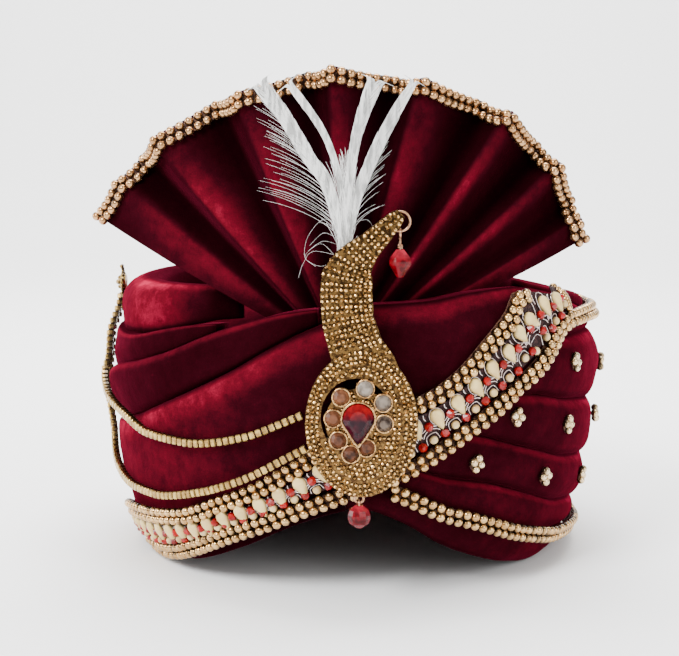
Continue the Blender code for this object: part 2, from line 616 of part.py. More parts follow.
def make_wide_band():
    gap = CLEARANCE / 2
    span = lambda turn: (max(band_edges(turn)[0], 0.001), min(band_edges(turn)[3], top_of_cloth(turn)))
    rows = two_row_profile(EDGE_HEIGHT)
    make_strip("band_edge_upper", UPPER_TRIM_FROM, UPPER_TRIM_TO, lambda turn: band_edges(turn)[2] + gap,
               lambda turn: band_edges(turn)[3], rows, "gold_balls", span)
    make_strip("band_edge_lower", LOWER_TRIM_FROM, LOWER_TRIM_TO, lambda turn: band_edges(turn)[0],
               lambda turn: band_edges(turn)[1] - gap, rows, "gold_balls",
               lambda turn: span(turn) if turn < LACE_TO else (band_edges(turn)[0], band_edges(turn)[1]))
    flat = [(a, 0.0) for a in (0, 0.33, 0.67, 1)] + [(a, BAND_THICKNESS) for a in (1, 0.67, 0.33, 0)]
    make_strip("band_lace", LACE_FROM, LACE_TO, lambda turn: band_edges(turn)[1] + gap,
               lambda turn: band_edges(turn)[2] - gap if turn < UPPER_TRIM_TO + 1 else 1.0, flat, "lace", span)


def make_narrow_trim():
    hem = line(HEM)
    slope = lambda turn: (hem(turn + 2) - hem(turn - 2)) / (4 * HALF_WIDTH * math.pi / 180)
    half = lambda turn: 0.5 * EDGE_WIDTH * math.hypot(1, slope(turn))
    make_strip("narrow_trim", TRIM_FROM, TRIM_TO, lambda turn: hem(turn) - half(turn),
               lambda turn: hem(turn) + half(turn), two_row_profile(EDGE_HEIGHT), "gold_balls")


def outside_half_width(turn, height):
    """Half-width of the outermost cloth or band at a place."""
    reach = max(cloth_reach(turn + d, height) for d in (-1.5, 0, 1.5))
    at = turn - 360 if turn > 180 else turn
    if at < LACE_TO:
        low, _, _, high = band_edges(at)
        if low - CHAIN_RADIUS < height < high + CHAIN_RADIUS:
            reach = max(reach, draped(at, low, high)(height) + BAND_SEAT + EDGE_HEIGHT)
    return reach


def make_chain(name, rows, points=32):
    """A chain as a tube, taut over the folds and bands under it."""
    last = len(rows) - 1
    knots = [(i, *row) for i, row in enumerate(rows)]
    places, lifts = [], []
    for i in range(points):
        turn = follow(knots, last * i / (points - 1), 1)
        height = WRAP_HEIGHT * follow(knots, last * i / (points - 1), 2)
        reach = max(outside_half_width(turn, height + d) for d in (-CHAIN_RADIUS, 0, CHAIN_RADIUS))
        places.append((turn, height))
        lifts.append(reach)
    taut = [0.5 * (max(lifts[max(i - 1, 0):i + 1]) + max(lifts[i:i + 2])) for i in range(points)]
    curve = bpy.data.curves.new(name, "CURVE")
    curve.dimensions = "3D"
    curve.bevel_depth = CHAIN_RADIUS
    curve.bevel_resolution = 2
    curve.use_fill_caps = True
    spline = curve.splines.new("POLY")
    spline.points.add(points - 1)
    for i, (turn, height) in enumerate(places):
        around = taut[max(i - 1, 0):i + 2]
        half_width = max(lifts[i], sum(around) / len(around)) + CHAIN_SEAT + CHAIN_RADIUS
        spline.points[i].co = (*on_oval(turn, half_width, height), 1)
    curve.materials.append(material("chain_gold"))
    obj = bpy.data.objects.new(name, curve)
    bpy.context.scene.collection.objects.link(obj)
    return obj


def lathe(name, centre, rows, finish, axis, sides, sharp_deg=25.0, outline=None):
    """A solid turned about an axis. A row is (distance along the axis, radius)."""
    axis = Vector(axis).normalized()
    side = axis.orthogonal().normalized() if abs(axis.y) < 0.9 else Vector((1, 0, 0))
    up = axis.cross(side)
    rings = []
    for along, radius in rows:
        ring = []
        for j in range(sides):
            angle = 2 * math.pi * (j + 0.5) / sides
            shape = outline[j] if outline else (math.cos(angle), math.sin(angle))
            ring.append(Vector(centre) + axis * along + (side * shape[0] + up * shape[1]) * radius)
        rings.append(ring)
    return loft(name, rings, finish, sharp_deg=sharp_deg)


def make_hook():
    turn, share = HOOK_PLACE
    height = WRAP_HEIGHT * share
    reach = max(cloth_reach(turn + d, height + d * HOOK_RADIUS / 2) for d in (-2, -1, 0, 1, 2))
    foot = on_oval(turn, reach, height)
    out = Vector((math.sin(math.radians(turn)), -math.cos(math.radians(turn)), 0))
    rows = [(0, 0.8), (0.25, 1.0), (0.5, 0.95), (0.75, 0.6), (0.8, 0.3)]
    return lathe("chain_hook", foot, [(a * HOOK_RADIUS, r * HOOK_RADIUS) for a, r in rows], "chain_gold", out, 14)


def brooch_back_y():
    """How far forward the brooch must be to clear the bands and cloth behind it."""
    front = 0.0
    for obj in bpy.data.objects:
        if obj.type != "MESH" or obj.name in ("fan", "fan_trim", "cap"):
            continue
        for vertex in obj.data.vertices:
            at = vertex.co
            near = abs(at.x - BROOCH_X) < BROOCH_HALF_WIDTH + 0.006
            if near and at.z > BROOCH_Z - BROOCH_HALF_HEIGHT - 0.004:
                front = min(front, at.y - BROOCH_LEAN * (at.z - BROOCH_Z))
    return front - BROOCH_GAP


BROOCH = {"back": 0.0}


def on_brooch(x, z, up=0.0):
    """A point of the brooch, from the medallion's middle; up is out of its back plane."""
    back = BROOCH["back"] + BROOCH_LEAN * z
    return Vector((BROOCH_X + x, back - up, BROOCH_Z + z))


def prism(name, outline, low, high, finish):
    rings = [[on_brooch(x, z, up) for x, z in outline] for up in (low, high)]
    return loft(name, rings, finish, sharp_deg=30)


def ellipse(half_width, half_height, offset=(0, 0), sides=36):
    angles = [2 * math.pi * i / sides for i in range(sides)]
    return [(offset[0] + half_width * math.cos(a), offset[1] + half_height * math.sin(a)) for a in angles]


def neck_outline():
    middle = [(BROOCH_HALF_WIDTH * x, NECK_HEIGHT * z) for z, x, _ in NECK]
    widths = [BROOCH_HALF_WIDTH * half for _, _, half in NECK]
    left, right = [], []
    for i, ((x, z), half) in enumerate(zip(middle, widths)):
        (x0, z0), (x1, z1) = middle[max(i - 1, 0)], middle[min(i + 1, len(middle) - 1)]
        length = math.hypot(x1 - x0, z1 - z0)
        across = ((z1 - z0) / length, -(x1 - x0) / length)
        right.append((x + across[0] * half, z + across[1] * half))
        left.append((x - across[0] * half, z - across[1] * half))
    return right + left[::-1]


def ring_of_wire(name, centre, radius, normal, finish, sides=16, wire_sides=5):
    """A closed ring of round wire."""
    normal = Vector(normal).normalized()
    side = Vector((0, 0, 1)) if abs(normal.z) < 0.9 else Vector((1, 0, 0))
    other = normal.cross(side)
    rings = []
    for i in range(sides):
        a = 2 * math.pi * i / sides
        out = side * math.cos(a) + other * math.sin(a)
        ring = []
        for j in range(wire_sides):
            b = 2 * math.pi * j / wire_sides
            ring.append(Vector(centre) + out * (radius + WIRE_RADIUS * math.cos(b)) + normal * WIRE_RADIUS * math.sin(b))
        rings.append(ring)
    return loft(name, rings, finish, closed=True, sharp_deg=60)


def combine(base, others, operation, solver="EXACT"):
    """Adds or cuts solids for good, and removes them."""
    for other in others:
        change = base.modifiers.new("change", "BOOLEAN")
        change.operation = operation
        change.solver = solver
        change.object = other
        graph = bpy.context.evaluated_depsgraph_get()
        result = bpy.data.meshes.new_from_object(base.evaluated_get(graph))
        base.modifiers.clear()
        base.data = result
        bpy.data.objects.remove(other)
    base.data.name = base.name
    return base


def make_brooch():
    plate = BROOCH_PLATE
    body = prism("brooch", ellipse(BROOCH_HALF_WIDTH, BROOCH_HALF_HEIGHT, sides=36), 0, plate, "brooch_gold")
    neck = prism("neck", neck_outline(), 0, plate, "brooch_gold")
    combine(body, [neck], "UNION")
    hole = prism("hole", ellipse(HOLE_HALF_WIDTH, HOLE_HALF_HEIGHT, HOLE_OFFSET, 32), -plate, 2 * plate, "brooch_gold")
    combine(body, [hole], "DIFFERENCE")
    flower = prism("flower", ellipse(FLOWER_RADIUS, FLOWER_RADIUS, FLOWER_OFFSET, 32), 0.1 * plate, 0.9 * plate,
                   "brooch_gold")
    tip = ring_of_wire("tip_ring", on_brooch(*TIP_RING_OFFSET, plate / 2), TIP_RING, (0, 1, 0), "brooch_gold")
    low = ring_of_wire("low_ring", lower_ring_middle(), LOWER_RING, (0, 1, 0), "brooch_gold", 14)
    combine(body, [flower, tip, low], "UNION")
    body.data.shade_smooth()
    body.data.set_sharp_from_angle(angle=math.radians(30))
    return body


def lower_ring_middle():
    return on_brooch(-0.0009, -BROOCH_HALF_HEIGHT - 0.5 * LOWER_RING, BROOCH_PLATE / 2)


def make_stones():
    seat = BROOCH_PLATE + STONE_SEAT
    cut = [(0.0, 0.86), (0.3, 1.0), (0.45, 1.0), (1.0, 0.56)]
    for i, (angle, distance) in enumerate(PETALS):
        a = math.radians(angle)
        x = FLOWER_OFFSET[0] + FLOWER_RADIUS * distance * math.cos(a)
        z = FLOWER_OFFSET[1] + FLOWER_RADIUS * distance * math.sin(a)
        rows = [(h * STONE_HEIGHT, r * STONE_RADIUS) for h, r in cut]
        lathe(f"petal_stone_{i + 1}", on_brooch(x, z, seat), rows, "champagne_stone", (0, -1, 0), 10)
    point = CENTRE_STONE_POINT / CENTRE_STONE_RADIUS
    outline = []
    for i in range(16):
        a = 2 * math.pi * i / 16
        down = max(-math.sin(a), 0.0)
        outline.append((math.cos(a) * (1 - 0.42 * down**2), math.sin(a) * (1 + (point - 1) * down**3)))
    middle = on_brooch(FLOWER_OFFSET[0], FLOWER_OFFSET[1] + 0.0014, seat)
    rows = [(h * CENTRE_STONE_HEIGHT, r * CENTRE_STONE_RADIUS) for h, r in cut]
    lathe("centre_stone", middle, rows, "ruby", (0, -1, 0), 16, outline=[(x, z) for x, z in outline])


def make_drop(name, ring_middle, ring_radius, eye, stem, bead_radius, bead_height, levels, sides):
    """A bead that hangs by its wire eye from a ring."""
    hold = ring_middle - Vector((0, 0, ring_radius))
    eye_middle = hold + Vector((0, 0, 2.2 * WIRE_RADIUS - eye))
    top = eye_middle - Vector((0, 0, eye + stem))
    rows = [(h * bead_height, r * bead_radius) for h, r in levels]
    bead = lathe(name, top, rows, "coral_glass", (0, 0, -1), sides)
    loop = ring_of_wire("eye", eye_middle, eye, (1, 0, 0), "coral_glass", 14)
    wire = lathe("wire", top - Vector((0, 0, 0.0010)), [(0, WIRE_RADIUS), (stem + 0.0012, WIRE_RADIUS)],
                 "coral_glass", (0, 0, 1), 6)
    return combine(bead, [loop, wire], "UNION")


def make_drops():
    make_drop("tip_drop", on_brooch(*TIP_RING_OFFSET, BROOCH_PLATE / 2), TIP_RING, TIP_EYE, TIP_STEM,
              TIP_BEAD_RADIUS, TIP_BEAD_HEIGHT, TIP_BEAD, 8)
    make_drop("lower_drop", lower_ring_middle(), LOWER_RING, LOWER_EYE, -0.0007, LOWER_BEAD_RADIUS,
              LOWER_BEAD_HEIGHT, LOWER_BEAD, 10)


def make_plume():
    locks = []
    steps = 8
    for lean0, lean1, length, width, forward in LOCKS:
        x, z = BROOCH_HALF_WIDTH * NECK[4][1], PLUME_ROOT
        rings = []
        for i in range(steps + 1):
            t = i / steps
            lean = math.radians(lean0 + (lean1 - lean0) * t)
            if i:
                x += PLUME_LENGTH * length / steps * math.sin(lean)
                z += PLUME_LENGTH * length / steps * math.cos(lean)
            half = 0.5 * PLUME_WIDTH * width * (0.22 + 0.78 * math.sin(math.pi * min(t * 0.92 + 0.04, 1.0)) ** 0.8)
            thick = PLUME_THICKNESS * (0.5 - 0.3 * t)
            back = CLEARANCE + PLUME_THICKNESS * (1.05 - forward)
            across = Vector((math.cos(lean), 0, -math.sin(lean)))
            middle = on_brooch(x, z, -back)
            corners = [(-1, 0), (-0.5, 1), (0.5, 1), (1, 0), (0.5, -1), (-0.5, -1)]
            rings.append([middle + across * (half * a) + Vector((0, thick * b, 0)) for a, b in corners])
        locks.append(loft("plume", rings, "feather", sharp_deg=60))
    plume = locks[0]
    for other in locks[1:]:
        other.name = "lock"
    plume.name = "plume"
    return combine(plume, locks[1:], "UNION", "MANIFOLD")


def centre_on_origin():
    """Moves everything so that the middle of the part's box is above the origin."""
    bpy.context.view_layer.update()
    corners = [obj.matrix_world @ Vector(c) for obj in bpy.data.objects for c in obj.bound_box]
    middle = [(min(c[k] for c in corners) + max(c[k] for c in corners)) / 2 for k in (0, 1)]
    move = Vector((-middle[0], -middle[1], 0))
    for obj in bpy.data.objects:
        if obj.type == "MESH":
            for vertex in obj.data.vertices:
                vertex.co += move
        else:
            for point in obj.data.splines[0].points:
                point.co = (point.co.x + move.x, point.co.y + move.y, point.co.z, 1)
    print("moved by", [round(v * 1000, 3) for v in move], "mm")


def build():
    clear_scene()
    list_windings()
    make_cap()
    for name in WINDINGS:
        make_winding(name)
    make_crown_wrap()
    make_fan()
    make_fan_trim()
    make_wide_band()
    make_narrow_trim()
    BROOCH["back"] = brooch_back_y()
    make_chain("chain_upper", UPPER_CHAIN)
    make_chain("chain_lower", LOWER_CHAIN)
    make_hook()
    make_brooch()
    make_stones()
    make_drops()
    make_plume()
    centre_on_origin()


build()
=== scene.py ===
"""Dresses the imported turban: velvet folds, ball trims, jewelled lace, a studded brooch, chains and a plume.

Everything is in metres in the part's own frame. A place on the wound cloth is given by its turn, in degrees
from the front centre towards +X, and its height. The shape numbers are the part's own, apart from
BAND_LIFT, CHAIN_LIFT and the fan's two outermost angles.
"""
import math
import random

import bmesh
import bpy
import numpy as np
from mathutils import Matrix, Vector


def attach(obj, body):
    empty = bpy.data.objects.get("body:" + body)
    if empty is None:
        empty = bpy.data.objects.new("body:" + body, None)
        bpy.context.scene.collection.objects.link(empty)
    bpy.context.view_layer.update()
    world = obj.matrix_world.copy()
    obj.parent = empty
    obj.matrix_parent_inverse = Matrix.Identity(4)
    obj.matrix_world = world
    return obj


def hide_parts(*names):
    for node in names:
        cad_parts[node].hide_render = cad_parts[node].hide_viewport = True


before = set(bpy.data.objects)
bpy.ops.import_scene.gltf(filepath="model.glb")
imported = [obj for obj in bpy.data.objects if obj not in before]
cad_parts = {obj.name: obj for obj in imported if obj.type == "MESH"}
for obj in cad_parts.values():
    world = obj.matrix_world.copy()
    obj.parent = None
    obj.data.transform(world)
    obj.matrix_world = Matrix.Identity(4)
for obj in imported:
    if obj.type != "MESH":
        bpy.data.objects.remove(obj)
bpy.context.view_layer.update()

bl_info = {
    "name": "Tied Turban Dressing",
    "version": (1, 0, 0),
    "blender": (4, 5, 0),
    "location": "3D View > Sidebar > Turban",
    "description": "Dresses a tied velvet turban with folds, trims, lace, a brooch, chains and a plume",
    "category": "Object",
}

SHIFT = Vector((0.000996, 0.00625, 0.0))  # the part's middle was moved above the origin

# ---- the part's sizes
HEAD_HALF_WIDTH, HEAD_LENGTHENING, HOLLOW_HEIGHT = 0.080, 0.016, 0.112
CAP_WALL, CAP_LIFT, CAP_SHOULDER, CAP_SQUARENESS = 0.004, 0.002, 0.68, 2.6
HALF_WIDTH, WRAP_HEIGHT, ARCH_HEIGHT = 0.112, 0.126, 0.037
FOLD_DEPTH, CROWN_THICKNESS, CLEARANCE, SEAM_TURN = 0.010, 0.020, 0.0004, -2.0
FAN_REACH, FAN_ROOT, FAN_CENTRE_X, FAN_CENTRE_SHARE = 0.116, 0.008, -0.005, 0.765
FAN_SHEET, FAN_PLEAT, FAN_ROOT_PLEAT, FAN_GATHER = 0.0016, 0.0075, 0.0028, 0.030
FAN_BOW, FAN_LEAN, FAN_LEAN_FROM, FAN_SEAT = 0.557, 0.12, 0.012, 0.0003
EDGE_WIDTH, EDGE_HEIGHT, BAND_SEAT, TOP_MARGIN = 0.0078, 0.0034, 0.0007, 0.0010
BAND_LIFT, CHAIN_LIFT = 0.0013, 0.0013  # how far the dressed band and chains sit above the solids' lines
BROOCH_X, BROOCH_Z, BROOCH_HALF_WIDTH, BROOCH_HALF_HEIGHT = 0.0027, 0.0745, 0.0218, 0.0285
BROOCH_PLATE, BROOCH_LEAN, NECK_HEIGHT = 0.0030, 0.05, 0.0810
HOLE_HALF_WIDTH, HOLE_HALF_HEIGHT, HOLE_OFFSET = 0.0136, 0.0150, (-0.0022, 0.0025)
FLOWER_RADIUS, FLOWER_OFFSET = 0.0128, (-0.0013, 0.0006)
STONE_RADIUS = 0.0031
CENTRE_STONE_RADIUS, CENTRE_STONE_POINT = 0.0060, 0.0098
TIP_RING, TIP_RING_OFFSET, LOWER_RING = 0.0038, (0.0147, 0.0776), 0.0017
TIP_EYE, LOWER_EYE, TIP_STEM, WIRE_RADIUS = 0.0017, 0.0013, 0.0045, 0.00045
TIP_BEAD_RADIUS, TIP_BEAD_HEIGHT = 0.0045, 0.0107
LOWER_BEAD_RADIUS, LOWER_BEAD_HEIGHT = 0.0046, 0.0088
PLUME_THICKNESS = 0.0022
CHAIN_RADIUS, CHAIN_SEAT = 0.0015, 0.0003

# The rim: (turn, share of the arch's height). The cloth's lines: (turn, share of the way from the rim to
# the top). SWEEP_TOP and CROWN_TOP are such lines too, and CROWN_TOP's shares are of the whole height.
RIM = [(-2, 0.98), (0, 1.0), (3, 0.98), (11, 0.82), (21.5, 0.51), (31, 0.32), (43, 0.14), (60, 0.0),
       (298, 0.0), (311, 0.10), (318, 0.19), (334, 0.49), (347, 0.80), (357, 0.97), (360, 1.0)]
HEM = [(-2, 0.151), (7, 0.132), (15, 0.126), (26, 0.138), (39, 0.123), (60, 0.103), (90, 0.066),
       (174, 0.056)]
CREASE_LOW = [(-2, 0.212), (13, 0.251), (30, 0.283), (60, 0.215), (88, 0.155), (150, 0.155), (205, 0.185)]
CREASE_MID = [(-2, 0.285), (8, 0.339), (25.5, 0.454), (41, 0.424), (60, 0.372), (88, 0.317),
              (180, 0.345), (230, 0.405), (270, 0.437), (280, 0.45)]
CREASE_HIGH = [(10, 0.40), (17, 0.475), (27, 0.577), (39, 0.608), (60, 0.568), (88, 0.518), (180, 0.54),
               (270, 0.595), (292, 0.675), (313, 0.742), (334, 0.848), (347, 0.894), (356, 0.905)]
PANEL_LINE = [(22, 0.57), (28, 0.655), (38, 0.745), (50, 0.79), (65, 0.785), (84, 0.765)]
PANEL_TOP = [(-2, 0.912), (16, 0.937), (27, 0.965), (38, 0.975), (50, 0.95), (62, 0.90), (84, 0.815)]
WRAP_LINE = [(84, 0.765), (110, 0.755), (180, 0.76), (270, 0.77), (292, 0.778), (323, 0.845), (330, 0.85)]
SWEEP_TOP = [(174, 0.056), (182, 0.105), (210, 0.222), (240, 0.333), (270, 0.42), (300, 0.515),
             (321, 0.607), (333, 0.678), (342, 0.753), (353, 0.837), (358, 0.86)]
CROWN_TOP = [(52, 0.975), (60, 0.95), (75, 0.918), (90, 0.89), (112, 0.885), (140, 0.90), (180, 0.925),
             (245, 0.945), (290, 0.955), (328, 0.975)]
# How far the creases, by share of the height, and the pockets, by turn, stand out in the cloth's room
CREASE_WIDTH = [(0.0, 0.064), (0.04, 0.18), (0.095, 0.288), (0.27, 0.528), (0.46, 0.644), (0.675, 0.720),
                (0.79, 0.680), (1.0, 0.500)]
POCKET = [(-2, 0.332), (20, 0.376), (30, 0.428), (38, 0.536), (48, 0.36), (62, 0.072), (75, 0.0),
          (285, 0.0), (300, 0.072), (320, 0.28), (335, 0.44), (350, 0.344), (358, 0.332)]
CROWN_WALL = [(52, 0.35), (60, 0.7), (75, 1.0), (285, 1.0), (300, 0.8), (312, 0.4), (328, 0.14)]
# The folds' sections: (turn, how proud, where fullest, fullness at the lower edge, at the upper edge)
HEM_ROLL = [(-2, 0.50, 0.60, 0.30, 0.1), (60, 0.70, 0.60, 0.30, 0.1), (170, 0.60, 0.60, 0.35, 0.1)]
LOW_ROLL = [(-2, 0.70, 0.5, 0.10, 0.1), (60, 0.80, 0.5, 0.10, 0.2), (203, 0.60, 0.5, 0.10, 0.2)]
MID_ROLL = [(-2, 0.60, 0.5, 0.10, 0.1), (30, 0.75, 0.5, 0.20, 0.2), (90, 0.78, 0.5, 0.20, 0.3),
            (200, 0.75, 0.5, 0.20, 0.2), (272, 0.45, 0.5, 0.20, 0.2)]
HIGH_ROLL = [(12, 0.60, 0.5, 0.10, 0.1), (40, 0.80, 0.5, 0.20, 0.2), (180, 0.80, 0.5, 0.20, 0.2),
             (230, 0.75, 0.6, 0.25, 0.2), (285, 0.72, 0.82, 0.25, 0.5), (356, 0.80, 0.85, 0.30, 0.55)]
TOP_ROLL = [(24, 0.55, 0.5, 0.10, 0.2), (50, 0.75, 0.5, 0.15, 0.15), (90, 0.82, 0.5, 0.20, 0.1),
            (180, 0.80, 0.5, 0.20, 0.1), (240, 0.60, 0.65, 0.25, 0.2), (290, 0.42, 0.85, 0.20, 0.45),
            (330, 0.30, 0.80, 0.30, 0.5)]
FRONT_PANEL = [(-2, 0.80, 0.55, 0.35, 0.5), (30, 0.75, 0.55, 0.35, 0.45), (60, 0.60, 0.50, 0.30, 0.3),
               (88, 0.40, 0.50, 0.20, 0.2)]
SWEEP_FOLD = [(170, 0.60, 0.60, 0.30, 0.2), (220, 0.60, 0.65, 0.30, 0.35), (270, 0.60, 0.70, 0.25, 0.5),
              (320, 0.85, 0.85, 0.25, 0.55), (358, 0.95, 0.85, 0.45, 0.6)]
# The fan's folds: (angle, share of the reach, how far it stands back)
FAN_LINES = [(153.6, 1.030, 0.2), (145, 1.020, -0.5), (137.5, 1.000, 1.0), (132, 1.010, -0.9),
             (117.5, 0.985, 1.0), (112, 0.980, -0.8), (97, 0.985, 1.0), (92, 1.000, -0.8),
             (79, 0.980, 1.0), (73.5, 1.000, -0.8), (60, 1.010, 1.0), (54.5, 1.035, -0.9),
             (45, 1.020, 1.0), (39.5, 1.030, -0.8), (31.5, 1.000, 0.8), (27, 0.990, -0.3),
             (22.8, 0.985, 0.2)]
# The wide band's edges, as (turn, share of the height), and the turns that each trim runs between
BAND_LOW = [(-178, 0.008), (-62, 0.008), (-50, 0.030), (-42, 0.062), (-26, 0.157), (-18, 0.206), (-10, 0.26),
            (3.6, 0.341), (10.4, 0.378), (17, 0.433), (24, 0.50), (34, 0.60), (42, 0.686), (50, 0.785),
            (55, 0.822), (62, 0.825), (75, 0.815), (90, 0.803), (120, 0.795), (180, 0.80), (252, 0.81)]
BAND_HIGH = [(-178, 0.092), (-98, 0.099), (-90, 0.111), (-77, 0.163), (-64, 0.20), (-51, 0.222), (-40, 0.25),
             (-30, 0.31), (-22, 0.365), (-12, 0.46), (-5, 0.54), (7, 0.63), (14, 0.668), (20.4, 0.73),
             (27, 0.82), (34, 0.91), (38, 0.975), (46, 0.99)]
UPPER_TRIM, LACE, LOWER_TRIM, NARROW_TRIM = (-178.0, 40.0), (-88.0, 57.0), (-66.0, 252.0), (8.4, 180.0)
# The brooch's neck: (share of its height, middle, half-width), then the flower's petals: (angle, distance)
NECK = [(0.18, 0.10, 0.66), (0.278, 0.055, 0.54), (0.359, -0.096, 0.477), (0.488, -0.239, 0.459),
        (0.623, -0.275, 0.459), (0.698, -0.248, 0.454), (0.765, -0.142, 0.358), (0.807, -0.005, 0.294),
        (0.848, 0.147, 0.234), (0.898, 0.335, 0.202), (0.942, 0.491, 0.170), (0.977, 0.619, 0.133),
        (0.995, 0.690, 0.085)]
PETALS = [(78.4, 1.045), (38.4, 0.956), (-2.3, 0.782), (-72.0, 0.80), (-103.0, 0.975), (-138.5, 0.803),
          (170.5, 0.765), (124.0, 0.923)]
# The four feathers, from the brooch's medallion in millimetres: (x, z, half-width of the vane)
FEATHERS = [
    [(-7.0, 68.0, 1.6), (-9.8, 79.9, 2.2), (-13.8, 92.8, 2.5), (-20.2, 101.8, 2.7), (-29.0, 116.6, 2.8),
     (-35.4, 124.9, 3.3), (-38.6, 129.8, 3.2)],
    [(-6.8, 70.0, 1.2), (-7.0, 81.8, 1.2), (-8.8, 95.0, 1.2), (-12.2, 105.6, 1.3), (-16.0, 113.6, 1.4),
     (-22.4, 122.7, 1.5), (-27.6, 129.5, 1.3)],
    [(-5.8, 70.0, 1.4), (-5.0, 89.1, 1.6), (-3.4, 101.8, 1.8), (-1.4, 112.0, 2.2), (1.8, 122.1, 2.8),
     (5.3, 130.6, 3.2)],
    [(-5.0, 70.0, 1.4), (-2.4, 84.0, 1.8), (0.6, 93.1, 2.2), (5.4, 104.4, 2.4), (9.2, 112.0, 2.4),
     (14.8, 122.1, 2.0), (19.9, 130.2, 1.3)],
]
# The down's curls beside the root, in the same millimetres
CURLS = [[(-10.6, 64.7), (-15.8, 68.9), (-21.8, 63.8), (-15.8, 60.2), (-10.6, 62.8)],
         [(-9.5, 77.0), (-15.2, 78.0), (-20.7, 71.4), (-21.8, 63.8), (-17.7, 60.2)],
         [(-10.6, 64.7), (-18.8, 65.9), (-22.6, 61.0), (-24.3, 55.7)],
         [(-9.0, 70.5), (-14.5, 73.0), (-20.0, 68.2)], [(-9.0, 68.5), (-15.0, 69.8), (-20.6, 66.0)],
         [(-8.6, 73.0), (-13.0, 76.2), (-16.4, 77.0)], [(-3.0, 77.0), (2.2, 78.0), (5.0, 74.0)]]
# The chains' lines: (turn, share of the height)
UPPER_CHAIN = [(269.5, 0.862), (272.0, 0.78), (275.5, 0.68), (279.0, 0.61), (285.0, 0.56), (293.0, 0.525),
               (302.0, 0.50), (312.0, 0.475), (323.0, 0.473), (336.5, 0.51), (346.0, 0.571), (349.3, 0.595)]
LOWER_CHAIN = [(266.0, 0.862), (267.5, 0.76), (269.0, 0.64), (271.0, 0.53), (274.5, 0.42), (280.0, 0.34),
               (288.0, 0.288), (299.0, 0.262), (311.0, 0.266), (325.0, 0.31), (338.0, 0.385), (347.0, 0.465),
               (350.3, 0.495)]
# Bead clusters on the rolls, at the right and round the back: (turn, height)
CLUSTERS = [(56, 0.089), (36.0, 0.0715), (54, 0.063), (79, 0.059), (26.5, 0.054), (47, 0.043), (69, 0.035),
            (86, 0.080), (104, 0.045), (112, 0.080), (128, 0.034), (140, 0.066), (158, 0.088), (163, 0.040),
            (188, 0.060), (206, 0.084), (214, 0.040), (236, 0.062)]


# ---- the dressing's sizes
STATION = 1.5  # degrees between the stations of a strip
TRIM_ROWS, PEARL_LIFT = (0.27, 0.73), 0.0004  # where a trim's rows of pearls run across it, and how high
TAPE, TAPE_EDGE, NET, NET_EDGE = 0.0006, 0.13, 0.0008, 0.03  # ribbons: how thick, and how far in they end
FAN_TAPE_ROWS, FAN_TAPE_LIFTS = (0.20, 0.86), (0.0003, 0.0009)
CREAM_RADIUS, END_PEARL_RADIUS, CLUSTER_RADIUS = 0.0018, 0.00185, 0.0018
HOOK_BEAD_RADIUS, GRAIN_RADIUS = 0.00115, 0.0005
LACE_STATION, LACE_HALF_WIDTH, LACE_HALF_DEPTH = 0.5, 0.111, 0.127  # the oval that the lace is unrolled from
# The lace's beads within one pitch of its pattern: (kind, share of the pitch, share across, lift, size)
LACE_BEADS = [("drop", 0.0, 0.25, 0.0015, 1.08), ("red", 0.5, 0.42, 0.0022, 1.0),
              ("red", -0.03, 0.87, 0.0022, 1.0), ("cream", 0.47, 0.86, 0.0020, 1.0)]
# Its silver wires: (size, lift, points as (share of the pitch, share across))
LACE_WIRES = [*((1.0, 0.0022, [(0.4 * side, 0.46), (side, 0.64)]) for side in (-0.09, 0.0, 0.09)),
              (1.0, 0.0022, [(0.0, 0.50), (0.20, 0.50), (0.40, 0.43)]),
              (1.0, 0.0022, [(0.0, 0.50), (-0.20, 0.50), (-0.40, 0.43)]),
              (1.0, 0.0018, [(0.5, 0.02), (0.46, 0.12), (0.5, 0.20)]),
              (1.0, 0.0020, [(0.40, 0.52), (0.22, 0.60), (0.14, 0.68)]),
              (1.0, 0.0020, [(0.60, 0.52), (0.78, 0.60), (0.86, 0.68)]),
              (0.8, 0.0016, [(0.20, 0.92), (0.24, 0.72), (0.44, 0.66), (0.68, 0.70), (0.74, 0.92)])]
# The beads that are turned about Z: (height, radius or share of the outline)
IVORY_ROWS = [(-0.0006, 0.90), (0.0006, 1.08), (0.0016, 0.92), (0.0022, 0.50)]
RED_ROWS = [(-0.0019, 0.0006), (-0.0008, 0.0018), (0.0006, 0.0019), (0.0020, 0.0006)]
PATCH_ROWS = [(0.0, 0.0030), (0.0005, 0.0033), (0.0007, 0.0024)]
CLUSTER = ((0.2, 2.5), (-1.9, 0.6), (1.9, -0.3), (-0.2, -2.4))  # a cluster's beads, in millimetres
# The chains' dark inner wire is painted shade that shows in the gaps between the links
LINK_WIDTH, LINK_CUT, LINK_SHARE, GAP_SHADE_RADIUS = 0.0031, 0.0004, 0.78, 0.0009
HOOK_TURN = 268
# The hook's rings of beads: (radius, how many, lift, size)
HOOK_RINGS = [(0.0040, 10, -0.0002, 0.9), (0.0024, 6, 0.0013, 0.8), (0.0, 1, 0.0020, 1.1)]
RIM_ROWS = 3  # studs of the medallion's outer rows stand side by side
BEZEL_RADIUS, BEZEL_WIRE, GRAIN_PITCH = 0.0034, 0.00042, 0.0012
CENTRE_STONE_RISE = 0.0014  # how far the centre stone's middle is above the flower's
